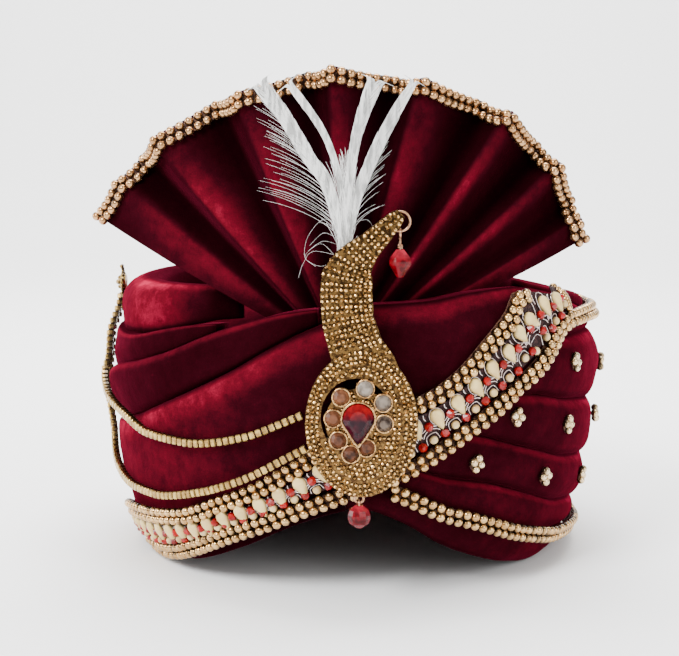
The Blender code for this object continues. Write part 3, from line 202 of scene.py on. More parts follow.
# The brooch's stones: (finish, (colour, deep colour, painted light colour), the two heights of its painted
# climb to light)
CRYSTAL_COLOURS = ((0.11, 0.08, 0.06), (0.022, 0.013, 0.009), (0.27, 0.23, 0.19))
TOPAZ_COLOURS = ((0.070, 0.022, 0.010), (0.014, 0.004, 0.002), (0.15, 0.055, 0.024))
RUBY_COLOURS = ((0.032, 0.0015, 0.006), (0.010, 0.0008, 0.004), (0.22, 0.001, 0.002))
STONES = [("smoky_crystal", CRYSTAL_COLOURS, 0.018, 0.002), ("brown_topaz", TOPAZ_COLOURS, 0.016, -0.020),
          ("deep_ruby", RUBY_COLOURS, 0.006, 0.001)]
CLEAR_STONES = 3  # the first petals are of clear crystal
# The drops' glass: colour, deep colour, and the painted light colour of their upper part
DROP_GLASS = ((0.14, 0.001, 0.005), (0.045, 0.0006, 0.002), (0.30, 0.014, 0.028))
# The glass drops' facets: (share of the way down, share of the radius)
TIP_FACETS = [(0.0, 0.34), (0.28, 0.90), (0.42, 1.0), (0.56, 0.97), (1.0, 0.30)]
LOWER_FACETS = [(0.0, 0.34), (0.20, 0.84), (0.42, 1.0), (0.58, 1.0), (0.80, 0.84), (1.0, 0.34)]
# A barb's stations along its length and their thickness
BARB_STATIONS, BARB_SIZES = (0.0, 0.15, 0.35, 0.6, 0.85, 1.0), (1.0, 1.0, 0.95, 0.85, 0.7, 0.45)
# The camera, from the photograph's width in pixels and its focal length in the same pixels
SENSOR, FOCAL_PIXELS, PHOTO_PIXELS, CAMERA_TILT = 36.0, 1754, 679, 7.4
CAMERA_X, CAMERA_Y, CAMERA_Z = -0.0058, -0.80, 0.198
SWEEP_HALF, SWEEP_BEND, SWEEP_RISE, SWEEP_TOP_Z = 4.0, 1.2, 0.8, 3.0  # the paper that sweeps up behind
# The lamps: (name, place, size, share of the key's power)
LAMPS = [("key", (-0.65, -0.95, 1.00), 0.5, 1), ("fill", (0.95, -0.85, 0.55), 0.8, 0.35),
         ("left", (-1.10, 0.10, 0.45), 0.5, 0.30), ("top", (0.1, 0.35, 1.2), 0.8, 0.6)]

# ---- the cloth's shape
class Table:
    """A smooth curve through a table's rows that never passes its neighbours."""

    def __init__(self, rows, column=1):
        self.xs = np.array([row[0] for row in rows], float)
        self.ys = np.array([row[column] for row in rows], float)
        self.steps = np.diff(self.xs)
        slopes = np.diff(self.ys) / self.steps
        self.tangents = np.zeros(len(rows))
        self.tangents[0], self.tangents[-1] = slopes[0], slopes[-1]
        for k in range(1, len(rows) - 1):
            if slopes[k - 1] * slopes[k] > 0:
                before = 2 * self.steps[k] + self.steps[k - 1]
                after = self.steps[k] + 2 * self.steps[k - 1]
                self.tangents[k] = (before + after) / (before / slopes[k - 1] + after / slopes[k])

    def __call__(self, at):
        at = np.clip(np.asarray(at, float), self.xs[0], self.xs[-1])
        i = np.clip(np.searchsorted(self.xs, at, side="right") - 1, 0, len(self.xs) - 2)
        t = (at - self.xs[i]) / self.steps[i]
        step, leave, arrive = self.steps[i], self.tangents[i], self.tangents[i + 1]
        return ((2 * t**3 - 3 * t**2 + 1) * self.ys[i] + (t**3 - 2 * t**2 + t) * step * leave
                + (3 * t**2 - 2 * t**3) * self.ys[i + 1] + (t**3 - t**2) * step * arrive)


def smooth_step(value, low, high):
    t = np.clip((value - low) / (high - low), 0.0, 1.0)
    return t * t * (3 - 2 * t)


def stations(first, last, step):
    """Turns from the first to the last, about a step apart."""
    return np.linspace(first, last, int((last - first) / step) + 1)


def running(lengths):
    """How far along each point is, from the lengths between the points."""
    return np.concatenate([[0], np.cumsum(lengths)])


def unit(vectors):
    return vectors / np.linalg.norm(vectors, axis=-1, keepdims=True)


def way_out(turn):
    """The level direction away from the turban's middle at a turn."""
    return math.sin(math.radians(turn)), -math.cos(math.radians(turn)), 0.0


def on_oval(turn, half_width, height):
    """The point at a turn and height on an oval of that half-width."""
    angle, height = np.radians(turn), np.asarray(height, float)
    x = half_width * np.sin(angle) + SHIFT.x
    y = -(half_width + HEAD_LENGTHENING) * np.cos(angle) + SHIFT.y
    return np.stack(np.broadcast_arrays(x, y, height + SHIFT.z), -1)


RIM_TABLE, CREASE_TABLE, POCKET_TABLE = Table(RIM), Table(CREASE_WIDTH), Table(POCKET)
CROWN_TOP_TABLE, CROWN_WALL_TABLE = Table(CROWN_TOP), Table(CROWN_WALL)


def rim_height(turn):
    at = np.mod(turn, 360)
    return ARCH_HEIGHT * RIM_TABLE(np.where(at < 358, at, at - 360))


def line(rows):
    """A line on the cloth, from a table of shares of the way from the rim to the top."""
    table = Table(rows)

    def height(turn):
        low = rim_height(turn)
        return low + table(turn) * (WRAP_HEIGHT - low)

    return height


def joined(first, second, switch_turn):
    """One line up to a turn, and another beyond it."""
    return lambda turn: np.where(np.asarray(turn) <= switch_turn, first(turn), second(turn))


def cap_half_width():
    return HEAD_HALF_WIDTH + CAP_WALL


def cloth_room():
    """How far the cloth can stand out from the cap."""
    return HALF_WIDTH - cap_half_width()


def crease_half_width(height):
    return cap_half_width() + cloth_room() * CREASE_TABLE(height / WRAP_HEIGHT)


def pocket_half_width(turn, height):
    rise = smooth_step(height / WRAP_HEIGHT, 0.60, 0.77)
    at = np.where(np.asarray(turn) <= 358, turn, np.asarray(turn) - 360)
    return cap_half_width() + CLEARANCE + cloth_room() * POCKET_TABLE(at) * rise


def bulge(t, peak, low, high, roundness=2.3):
    """How full a fold is, from 0 to 1, at t from its lower edge to its upper edge."""
    under = np.clip(1 - t / peak, 0, 1)
    over = np.clip((t - peak) / (1 - peak), 0, 1)
    below = low + (1 - low) * (1 - under**roundness) ** (1 / roundness)
    above = high + (1 - high) * (1 - over**roundness) ** (1 / roundness)
    return np.where(t < peak, below, above)


class Winding:
    """One fold of the wound cloth, between two lines round the turban."""

    def __init__(self, first, last, lower, upper, section):
        self.first, self.last, self.lower, self.upper = first, last, lower, upper
        self.section = [Table(section, column) for column in (1, 2, 3, 4)]

    def reach(self, turn, height):
        """Half-width of the fold's outside at a turn and height."""
        low, high = self.lower(turn), self.upper(turn)
        t = np.clip((height - low) / np.maximum(high - low, 1e-6), 0, 1)
        proud, peak, keep_low, keep_high = (table(turn) for table in self.section)
        depth = np.minimum(FOLD_DEPTH * proud, 0.75 * (high - low))
        return crease_half_width(height) + depth * bulge(t, peak, keep_low, keep_high)


def list_windings():
    lines = (HEM, CREASE_LOW, CREASE_MID, CREASE_HIGH, SWEEP_TOP)
    hem, low, mid, high, sweep = (line(rows) for rows in lines)
    panel = joined(mid, joined(high, line(PANEL_LINE), 21), 9)
    return {
        "hem_roll": Winding(SEAM_TURN, 174, rim_height, hem, HEM_ROLL),
        "low_roll": Winding(SEAM_TURN, 194, joined(hem, sweep, 174), low, LOW_ROLL),
        "middle_roll": Winding(SEAM_TURN, 264, joined(low, sweep, 194), mid, MID_ROLL),
        "high_fold": Winding(10, 352, joined(mid, sweep, 264), high, HIGH_ROLL),
        "top_fold": Winding(22, 328, high, joined(panel, line(WRAP_LINE), 84), TOP_ROLL),
        "front_panel": Winding(SEAM_TURN, 84, panel, line(PANEL_TOP), FRONT_PANEL),
        "sweep_fold": Winding(174, 360 + SEAM_TURN, rim_height, sweep, SWEEP_FOLD),
    }


WINDINGS = list_windings()
PANEL_TOP_LINE, WRAP_LINE_LINE = line(PANEL_TOP), line(WRAP_LINE)


def crown_foot(turn):
    """The height of the crown winding's lower edge."""
    return np.where(np.asarray(turn) <= 84, PANEL_TOP_LINE(turn), WRAP_LINE_LINE(turn))


def crown_reach(turn, height):
    low = crown_foot(turn)
    t = np.clip((height - low) / (WRAP_HEIGHT * CROWN_TOP_TABLE(turn) - low), 0, 1)
    thickness = CROWN_THICKNESS * CROWN_WALL_TABLE(turn)
    return cap_half_width() + CLEARANCE + thickness * (0.25 + 0.75 * bulge(t, 0.45, 0.9, 0.0))


CLOTH_STEP = 0.0005  # from one height of the measured grid to the next
CLOTH_TURNS = np.arange(0, 361, 1.0)
CLOTH_HEIGHTS = np.arange(0, 0.1285, CLOTH_STEP)


def measure_cloth():
    """Half-width of the outermost cloth on a grid of turns and heights."""
    turns, heights = np.meshgrid(CLOTH_TURNS, CLOTH_HEIGHTS, indexing="ij")
    best = np.zeros_like(turns)
    for winding in WINDINGS.values():
        for lap in (-360, 0, 360):
            at = turns + lap
            inside = (winding.first - 0.5 <= at) & (at <= winding.last + 0.5)
            inside &= (winding.lower(at) - 0.002 <= heights) & (heights <= winding.upper(at) + 0.002)
            best = np.where(inside, np.maximum(best, winding.reach(at, heights)), best)
    crown = (turns >= CROWN_WALL[0][0]) & (turns <= CROWN_WALL[-1][0])
    crown &= heights >= crown_foot(turns) - 0.001
    best = np.where(crown, np.maximum(best, crown_reach(turns, heights)), best)
    return np.where(best > 0, best, crease_half_width(heights))


CLOTH = measure_cloth()


def cloth_reach(turn, height):
    """Half-width of the outermost cloth at a turn and height."""
    across = np.mod(turn, 360)
    up = np.clip(np.asarray(height) / CLOTH_STEP, 0, len(CLOTH_HEIGHTS) - 1.001)
    i, j = np.floor(across).astype(int), np.floor(up).astype(int)
    a, b = across - i, up - j
    i1 = np.minimum(i + 1, 360)
    return ((1 - a) * ((1 - b) * CLOTH[i, j] + b * CLOTH[i, j + 1])
            + a * ((1 - b) * CLOTH[i1, j] + b * CLOTH[i1, j + 1]))


def top_of_cloth(turn):
    at = turn % 360
    if CROWN_TOP[0][0] <= at <= CROWN_TOP[-1][0]:
        return WRAP_HEIGHT * float(CROWN_TOP_TABLE(at))
    return float(PANEL_TOP_LINE(at)) if at < CROWN_TOP[0][0] else WRAP_HEIGHT


def draped(turn, low, high):
    """The half-width of a taut band that lies over the cloth at a turn, as a function of height."""
    heights = np.linspace(low - 0.001, high + 0.001, 13)
    near = np.clip(heights, 0.0005, top_of_cloth(turn) - 0.0008)
    reaches = np.max([cloth_reach(turn + d, near) for d in (-3, 0, 3)], axis=0)
    hull = []
    for point in zip(heights, reaches):
        while len(hull) > 1 and ((hull[-1][1] - hull[-2][1]) * (point[0] - hull[-2][0])
                                 <= (point[1] - hull[-2][1]) * (hull[-1][0] - hull[-2][0])):
            hull.pop()
        hull.append(point)
    hs, rs = [h for h, _ in hull], [r for _, r in hull]
    return lambda height: np.interp(height, hs, rs)


BAND_LOW_TABLE, BAND_HIGH_TABLE = Table(BAND_LOW), Table(BAND_HIGH)
HEM_LINE = line(HEM)
PER_DEGREE = HALF_WIDTH * math.pi / 180


def slope_of(height, turn):
    """How steeply a line climbs at a turn."""
    return (height(turn + 2) - height(turn - 2)) / (4 * PER_DEGREE)


def band_lift(turn):
    return BAND_LIFT * smooth_step(turn, -60, -30) * (1 - smooth_step(turn, 36, 46))


def band_low(turn):
    return WRAP_HEIGHT * BAND_LOW_TABLE(turn) + band_lift(turn)


def band_high(turn):
    return WRAP_HEIGHT * BAND_HIGH_TABLE(turn) + band_lift(turn)


def band_edges(turn):
    """The heights of the wide band's edges and of the seams beside its two trims."""
    low, high = band_low(turn), band_high(turn)
    return (low, low + EDGE_WIDTH * np.hypot(1, slope_of(band_low, turn)),
            high - EDGE_WIDTH * np.hypot(1, slope_of(band_high, turn)), high)


class Strip:
    """A band on the cloth: the turns it runs between, its edges, and the edges of the taut band it is in."""

    def __init__(self, run, low_at, high_at, span=None):
        self.run, self.low_at, self.high_at = run, low_at, high_at
        self.span = span or (lambda turn: self.edges(turn))

    def edges(self, turn):
        low = max(float(self.low_at(turn)), 0.0010)
        high = min(float(self.high_at(turn)), top_of_cloth(turn) - TOP_MARGIN)
        return min(low, high - 0.0022), high

    def section(self, turn, shares, up):
        """Points across the band at a turn, from its lower edge, that far off the cloth."""
        low, high = self.edges(turn)
        reach = draped(turn, *self.span(turn))
        heights = low + np.asarray(shares) * (high - low)
        return on_oval(turn, reach(heights) + BAND_SEAT + np.asarray(up), heights)

    def row(self, share, up):
        """A path along the band, as (points, outward directions)."""
        near = [share - 0.08, share + 0.08]
        pairs = np.array([self.section(turn, near, [up, up]) for turn in stations(*self.run, STATION)])
        points = pairs.mean(axis=1)
        return points, unit(np.cross(np.gradient(points, axis=0), pairs[:, 1] - pairs[:, 0]))


def band_span(turn):
    low, _, _, high = band_edges(turn)
    return max(float(low), 0.001), min(float(high), top_of_cloth(turn))


def narrow_half(turn):
    """Half of the narrow trim's height on the cloth."""
    return 0.5 * EDGE_WIDTH * np.hypot(1, slope_of(HEM_LINE, turn))


def lower_span(turn):
    """The wide band as far as it goes, and then the lower trim alone."""
    if turn < LACE[1]:
        return band_span(turn)
    return tuple(float(edge) for edge in band_edges(turn)[:2])


def lace_top(turn):
    """The seam under the upper trim, and past the trim's end the top of the cloth."""
    return band_edges(turn)[2] - CLEARANCE / 2 if turn < UPPER_TRIM[1] + 1 else 1.0


STRIPS = {
    "band_edge_upper": Strip(UPPER_TRIM, lambda turn: band_edges(turn)[2] + CLEARANCE / 2,
                             lambda turn: band_edges(turn)[3], band_span),
    "band_edge_lower": Strip(LOWER_TRIM, lambda turn: band_edges(turn)[0],
                             lambda turn: band_edges(turn)[1] - CLEARANCE / 2, lower_span),
    "band_lace": Strip(LACE, lambda turn: band_edges(turn)[1] + CLEARANCE / 2, lace_top, band_span),
    "narrow_trim": Strip(NARROW_TRIM, lambda turn: HEM_LINE(turn) - narrow_half(turn),
                         lambda turn: HEM_LINE(turn) + narrow_half(turn)),
}


def fan_centre():
    return Vector((FAN_CENTRE_X, 0, FAN_CENTRE_SHARE * WRAP_HEIGHT))


def fan_point(angle_deg, share, stand_back, forward=0.0):
    """Points of the fan at shares of its reach; forward is towards the viewer."""
    centre = fan_centre()
    pocket = cap_half_width() + CLEARANCE + cloth_room() * POCKET[0][1] + HEAD_LENGTHENING
    held = min((float(PANEL_TOP_LINE(0)) - centre.z) / FAN_GATHER, 1.0)
    front = FAN_SEAT + 0.9 * held * FAN_ROOT_PLEAT + FAN_SHEET / 2 - pocket
    x = centre.x + FAN_REACH * share * np.cos(np.radians(angle_deg))
    z = centre.z + FAN_REACH * share * np.sin(np.radians(angle_deg))
    middle = front + FAN_BOW * x * x / FAN_REACH + FAN_LEAN * np.maximum(z - centre.z - FAN_LEAN_FROM, 0.0)
    open_up = smooth_step(z / WRAP_HEIGHT, 0.93, 1.35)
    gathered = np.minimum(1.0, FAN_REACH * share / FAN_GATHER)
    depth = (FAN_ROOT_PLEAT + (FAN_PLEAT - FAN_ROOT_PLEAT) * open_up) * gathered
    y = middle + stand_back * depth - forward
    return np.stack(np.broadcast_arrays(x + SHIFT.x, y + SHIFT.y, z), -1)


def fan_columns(between):
    """The fan's columns: each fold line and what lies between, rounded at the ridges."""
    columns = []
    for (a0, r0, d0), (a1, r1, d1) in zip(FAN_LINES, FAN_LINES[1:]):
        for step in range(between):
            t = step / between
            soft = t * t * (3 - 2 * t)
            dip = 0.012 * math.sin(math.pi * t)
            columns.append((a0 + t * (a1 - a0), r0 + t * (r1 - r0) - dip, d0 + soft * (d1 - d0)))
    return columns + [FAN_LINES[-1]]


def find_brooch_back():
    points = np.array([v.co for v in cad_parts["brooch"].data.vertices])
    return float((points[:, 1] - BROOCH_LEAN * (points[:, 2] - BROOCH_Z)).max())


BROOCH_BACK = find_brooch_back()
BROOCH_OUT = Vector((0, -1, -BROOCH_LEAN)).normalized()


def on_brooch(x, z, up=0.0):
    """A point of the brooch, from the medallion's middle; up is out of its back plane."""
    return Vector((BROOCH_X + SHIFT.x + x, BROOCH_BACK + BROOCH_LEAN * z - up, BROOCH_Z + z))


class Ripples:
    """Soft waves that don't repeat, for dents in cloth."""

    def __init__(self, seed, count=9, fine=3.2):
        rng = np.random.default_rng(seed)
        angle = rng.uniform(0, math.pi, count)
        speed = rng.uniform(1.0, fine, count)
        self.a, self.b = speed * np.cos(angle), speed * np.sin(angle)
        self.phase, self.weight = rng.uniform(0, 2 * math.pi, count), 1 / speed
        self.total = float(np.sqrt((self.weight**2).sum() / 2))

    def __call__(self, u, v):
        u, v = np.asarray(u)[..., None], np.asarray(v)[..., None]
        return (self.weight * np.sin(self.a * u + self.b * v + self.phase)).sum(-1) / self.total


# ---- mesh helpers
def new_object(name, mesh):
    obj = bpy.data.objects.new(name, mesh)
    bpy.context.scene.collection.objects.link(obj)
    return obj


def piece(name, mesh, replaces=()):
    """A finished piece that rides on the part."""
    obj = new_object(name, mesh)
    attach(obj, "root")
    if replaces:
        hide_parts(*replaces)
    return obj


def mesh_of(name, points, faces, materials, smooth=True, sharp_deg=None, kinds=None, outward=True):
    mesh = bpy.data.meshes.new(name)
    mesh.from_pydata([tuple(p) for p in points], [], faces)
    if outward:
        made = bmesh.new()
        made.from_mesh(mesh)
        bmesh.ops.recalc_face_normals(made, faces=made.faces)
        made.to_mesh(mesh)
        made.free()
    if smooth:
        mesh.shade_smooth()
        if sharp_deg:
            mesh.set_sharp_from_angle(angle=math.radians(sharp_deg))
    else:
        mesh.shade_flat()
    for found in materials:
        mesh.materials.append(found)
    if kinds is not None:
        mesh.polygons.foreach_set("material_index", kinds)
    return mesh


def paint(node, material):
    """Gives one of the part's own nodes a finish."""
    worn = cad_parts[node].data.materials
    worn.clear()
    worn.append(material)


def note(mesh, label, values):
    """Keeps a number for each point of a mesh, for its material."""
    held = mesh.attributes.new(label, "FLOAT", "POINT").data
    held.foreach_set("value", np.asarray(values, np.float32).ravel())
    return mesh


def relief(mesh):
    """Notes how far each point of a bead stands proud, so that its finish can paint shade towards its seat.
    """
    heights = np.array([v.co.z for v in mesh.vertices])
    return note(mesh, "relief", (heights - heights.min()) / (heights.max() - heights.min()))


def tube_faces(a, b, count):
    """Faces between two rings of points that start at a and b."""
    return [(a + j, a + (j + 1) % count, b + (j + 1) % count, b + j) for j in range(count)]


def loft(name, rings, material, smooth=True, sharp_deg=None):
    """A closed form through rings of points, capped at both ends."""
    rings = np.asarray(rings, float)
    levels, count = rings.shape[:2]
    faces = [face for i in range(levels - 1) for face in tube_faces(i * count, (i + 1) * count, count)]
    last = (levels - 1) * count
    faces += [tuple(range(count))[::-1], tuple(last + j for j in range(count))]
    return mesh_of(name, rings.reshape(-1, 3), faces, [material], smooth, sharp_deg)


def turned(name, rows, sides, material, smooth=True, sharp_deg=40, outline=None):
    """A small shape turned about Z, from (height, radius) rows."""
    angles = [2 * math.pi * (j + 0.5) / sides for j in range(sides)]
    shape = outline or [(math.cos(a), math.sin(a)) for a in angles]
    rings = [[(x * r, y * r, z) for x, y in shape] for z, r in rows]
    return relief(loft(name, rings, material, smooth, sharp_deg))


def small_mesh(name, made, material):
    """Turns a finished bmesh into a mesh with one material."""
    mesh = bpy.data.meshes.new(name)
    made.to_mesh(mesh)
    made.free()
    mesh.materials.append(material)
    return mesh


def ball(name, radius, material, detail=2):
    made = bmesh.new()
    bmesh.ops.create_icosphere(made, subdivisions=detail, radius=radius)
    mesh = small_mesh(name, made, material)
    mesh.shade_smooth()
    return relief(mesh)


def block(name, size, cut, material):
    """A box with cut edges, its middle at the origin."""
    made = bmesh.new()
    bmesh.ops.create_cube(made, size=1.0)
    bmesh.ops.scale(made, vec=Vector(size), verts=made.verts)
    bmesh.ops.bevel(made, geom=list(made.edges), offset=cut, segments=1, affect="EDGES")
    return relief(small_mesh(name, made, material))


# ---- Geometry Nodes
class Tree:
    """A Geometry Nodes tree with named inputs, built node by node."""

    def __init__(self, name, inputs):
        self.tree = bpy.data.node_groups.new(name, "GeometryNodeTree")
        face = self.tree.interface
        face.new_socket("Geometry", in_out="INPUT", socket_type="NodeSocketGeometry")
        for label, kind, default in inputs:
            made = face.new_socket(label, in_out="INPUT", socket_type="NodeSocket" + kind)
            if default is not None:
                made.default_value = default
        face.new_socket("Geometry", in_out="OUTPUT", socket_type="NodeSocketGeometry")
        self.given = self.tree.nodes.new("NodeGroupInput")

    def socket(self, label):
        return self.given.outputs[label]

    def add(self, kind, settings=None, sockets=None, out=0):
        """Adds a node and gives one of its outputs. Sockets go by name or identifier."""
        node = self.tree.nodes.new(kind)
        for key, value in (settings or {}).items():
            setattr(node, key, value)
        for key, value in (sockets or {}).items():
            found = next((s for s in node.inputs if s.identifier == key), None) or node.inputs[key]
            if isinstance(value, bpy.types.NodeSocket):
                self.tree.links.new(value, found)
            else:
                found.default_value = value
        return node.outputs[out]

    def noted(self, label, kind):
        """What the mesh keeps for each of its points under a label."""
        return self.add("GeometryNodeInputNamedAttribute", {"data_type": kind}, {"Name": label})

    def finish(self, geometry, material):
        whole = self.add("GeometryNodeRealizeInstances", sockets={"Geometry": geometry})
        done = self.add("GeometryNodeSetMaterial", sockets={"Geometry": whole, "Material": material})
        self.tree.links.new(done, self.tree.nodes.new("NodeGroupOutput").inputs[0])
        return self.tree


def bead_tree(name, on_path):
    """Puts a bead at each point, or at even steps along each path, turned by the out and along attributes."""
    inputs = [("Bead", "Object", None), ("Finish", "Material", None), ("Turn", "Float", 0.0),
              ("Seed", "Int", 1)]
    if on_path:
        inputs.append(("Pitch", "Float", 0.004))
    tree = Tree(name, inputs)
    places = tree.socket("Geometry")
    if on_path:
        curve = tree.add("GeometryNodeMeshToCurve", sockets={"Mesh": places})
        places = tree.add("GeometryNodeResampleCurve", {"mode": "LENGTH"},
                          {"Curve": curve, "Length": tree.socket("Pitch")})
    facing = tree.add("FunctionNodeAxesToRotation", {"primary_axis": "Z", "secondary_axis": "X"},
                      {"Primary Axis": tree.noted("out", "FLOAT_VECTOR"),
                       "Secondary Axis": tree.noted("along", "FLOAT_VECTOR")})
    spin = tree.add("FunctionNodeRandomValue", {"data_type": "FLOAT_VECTOR"},
                    {"Min": (-1.0, -1.0, -1.0), "Max": (1.0, 1.0, 1.0), "Seed": tree.socket("Seed")})
    spin = tree.add("ShaderNodeVectorMath", {"operation": "SCALE"},
                    {"Vector": spin, "Scale": tree.socket("Turn")})
    spin = tree.add("FunctionNodeEulerToRotation", sockets={"Euler": spin})
    facing = tree.add("FunctionNodeRotateRotation", {"rotation_space": "LOCAL"},
                      {"Rotation": facing, "Rotate By": spin})
    shape = tree.add("GeometryNodeObjectInfo", sockets={"Object": tree.socket("Bead")}, out="Geometry")
    beads = tree.add("GeometryNodeInstanceOnPoints", sockets={
        "Points": places, "Instance": shape, "Rotation": facing, "Scale": tree.noted("size", "FLOAT")})
    return tree.finish(beads, tree.socket("Finish"))


def wire_tree(name):
    """Gives each path a round wire."""
    tree = Tree(name, [("Finish", "Material", None), ("Radius", "Float", 0.0003), ("Sides", "Int", 5)])
    curve = tree.add("GeometryNodeMeshToCurve", sockets={"Mesh": tree.socket("Geometry")})
    size = tree.noted("size", "FLOAT")
    curve = tree.add("GeometryNodeSetCurveRadius", sockets={"Curve": curve, "Radius": size})
    ring = tree.add("GeometryNodeCurvePrimitiveCircle", sockets={"Resolution": tree.socket("Sides"),
                                                                "Radius": tree.socket("Radius")})
    wire = {"Curve": curve, "Profile Curve": ring, "Fill Caps": True}
    node = tree.add("GeometryNodeCurveToMesh", sockets=wire).node
    scale = node.inputs.get("Scale")
    if scale is not None:
        tree.tree.links.new(size, scale)
    return tree.finish(node.outputs[0], tree.socket("Finish"))


TREES = {}
TREE_MAKERS = {"path": lambda: bead_tree("beads_on_a_path", True),
               "spots": lambda: bead_tree("beads_at_spots", False),
               "wire": lambda: wire_tree("wire_on_a_path")}


def tree_for(kind):
    """The tree of a kind, made once."""
    if kind not in TREES:
        TREES[kind] = TREE_MAKERS[kind]()
    return TREES[kind]


def spots_mesh(name, lines):
    """A mesh of paths or lone points, with the directions and sizes that the trees read.

    A line is (points, outs, alongs, sizes, loop), and a lone point is a line of one point.
    """
    points, outs, alongs, sizes, edges = [], [], [], [], []
    for line_points, line_outs, line_alongs, line_sizes, loop in lines:
        start, count = len(points), len(line_points)
        points += [tuple(p) for p in line_points]
        outs += [tuple(o) for o in line_outs]
        alongs += [tuple(a) for a in line_alongs]
        sizes += list(line_sizes)
        edges += [(start + i, start + i + 1) for i in range(count - 1)]
        if loop:
            edges.append((start + count - 1, start))
    mesh = bpy.data.meshes.new(name)
    mesh.from_pydata(points, edges, [])
    for label, kind, values, field in (("out", "FLOAT_VECTOR", outs, "vector"),
                                       ("along", "FLOAT_VECTOR", alongs, "vector"),
                                       ("size", "FLOAT", sizes, "value")):
        attribute = mesh.attributes.new(label, kind, "POINT")
        attribute.data.foreach_set(field, np.asarray(values, np.float32).ravel())
    return mesh


def grow(name, kind, lines, values, replaces=(), bead=None):
    """Runs a tree on the lines and keeps its result as a plain piece."""
    base = new_object(name + "_lines", spots_mesh(name + "_lines", lines))
    tree = tree_for(kind)
    change = base.modifiers.new("grow", "NODES")
    change.node_group = tree
    shape = new_object(name + "_bead", bead) if bead else None
    if shape:
        values = {**values, "Bead": shape}
    for item in tree.interface.items_tree:
        if item.in_out == "INPUT" and item.name in values:
            change[item.identifier] = values[item.name]
    graph = bpy.context.evaluated_depsgraph_get()
    mesh = bpy.data.meshes.new_from_object(base.evaluated_get(graph))
    mesh.name = name
    for label in ("out", "along", "size"):
        if label in mesh.attributes:
            mesh.attributes.remove(mesh.attributes[label])
    base.modifiers.clear()
    for helper in filter(None, (base, shape)):
        bpy.data.objects.remove(helper)
    if not len(mesh.polygons):
        raise RuntimeError(f"{name} came out empty")
    return piece(name, mesh, replaces)


def path(points, outs=None, size=1.0, loop=False):
    """A path for the trees: the directions along it are worked out here."""
    points = np.asarray(points, float)
    if loop:
        along = np.roll(points, -1, axis=0) - np.roll(points, 1, axis=0)
    else:
        along = np.gradient(points, axis=0) if len(points) > 1 else np.array([[1.0, 0, 0]])
    outs = np.tile((0.0, -1.0, 0.0), (len(points), 1)) if outs is None else outs
    sizes = np.broadcast_to(size, len(points))
    return points, outs, along, sizes, loop


def spot(point, out=(0, -1, 0), along=(1, 0, 0), size=1.0):
    return [point], [out], [along], [size], False


def rounded(points, pieces=4):
    """A smooth curve through points."""
    points = np.asarray(points, float)
    count = len(points)
    made = []
    for i in range(count - 1):
        a, b, c, d = (points[min(max(i + k, 0), count - 1)] for k in (-1, 0, 1, 2))
        for step in range(pieces):
            t = step / pieces
            made.append(0.5 * (2 * b + (c - a) * t + (2 * a - 5 * b + 4 * c - d) * t**2
                               + (3 * b - a - 3 * c + d) * t**3))
    return np.array(made + [points[-1]])


# ---- finishes
class Value:
    """A number in a material. Sums and products of values add the nodes for them."""

    def __init__(self, finish, socket):
        self.finish, self.socket = finish, socket

    def math(self, operation, other, clamp=False):
        settings = {"operation": operation, "use_clamp": clamp}
        return self.finish.node("ShaderNodeMath", settings, {0: self, 1: other})

    def __add__(self, other):
        return self.math("ADD", other)

    def __mul__(self, other):
        return self.math("MULTIPLY", other)

    def held(self):
        """The value, kept between 0 and 1."""
        return self.math("ADD", 0.0, clamp=True)

    __radd__, __rmul__ = __add__, __mul__


class Finish:
    """A material. Constants go straight on the shader, and what varies comes from its nodes."""

    def __init__(self, name, **constants):
        self.made = bpy.data.materials.new(name)
        self.made.use_nodes = True
        self.tree = self.made.node_tree
        self.shader = self.tree.nodes["Principled BSDF"]
        for key, value in constants.items():
            self.shader.inputs[key.replace("_", " ").title().replace("Ior", "IOR")].default_value = value
        self.place = self.node("ShaderNodeTexCoord", out="Object")

    def node(self, kind, settings=None, sockets=None, out=0):
        """Adds any node and gives one of its outputs as a value."""
        node = self.tree.nodes.new(kind)
        for key, value in (settings or {}).items():
            if key == "stops":
                for i, (at, colour) in enumerate(value):
                    stop = node.color_ramp.elements[i] if i < 2 else node.color_ramp.elements.new(at)
                    stop.position, stop.color = at, colour
            else:
                setattr(node, key, value)
        for key, value in (sockets or {}).items():
            if isinstance(value, Value):
                self.tree.links.new(value.socket, node.inputs[key])
            else:
                node.inputs[key].default_value = value
        return Value(self, node.outputs[out])

    def noise(self, scale, detail=3.0, rough=0.5, stretch=None):
        place = self.place
        if stretch:
            place = self.node("ShaderNodeMapping", sockets={"Vector": place, "Scale": stretch})
        return self.node("ShaderNodeTexNoise", out="Fac", sockets={
            "Vector": place, "Scale": scale, "Detail": detail, "Roughness": rough})

    def cells(self, scale):
        sockets = {"Vector": self.place, "Scale": scale}
        return self.node("ShaderNodeTexVoronoi", out="Distance", sockets=sockets)

    def noted(self, label):
        """The number that the mesh keeps for each of its points."""
        return self.node("ShaderNodeAttribute", {"attribute_name": label}, out="Fac")

    def range(self, value, low, high, to_low=0.0, to_high=1.0):
        sockets = {"Value": value, "From Min": low, "From Max": high, "To Min": to_low, "To Max": to_high}
        return self.node("ShaderNodeMapRange", {"interpolation_type": "SMOOTHSTEP"}, sockets)

    def blend(self, share, first, second):
        """A colour between two colours or colour values."""
        return self.node("ShaderNodeMix", {"data_type": "RGBA"}, {0: share, 6: first, 7: second}, out=2)

    def set(self, **values):
        for key, value in values.items():
            self.tree.links.new(value.socket, self.shader.inputs[key.replace("_", " ").title()])
        return self

    def bump(self, height, distance, strength=1.0):
        return self.set(normal=self.node("ShaderNodeBump", sockets={"Height": height, "Distance": distance,
                                                                    "Strength": strength}, out="Normal"))


def rgb(colour, factor=1.0):
    return (colour[0] * factor, colour[1] * factor, colour[2] * factor, 1.0)


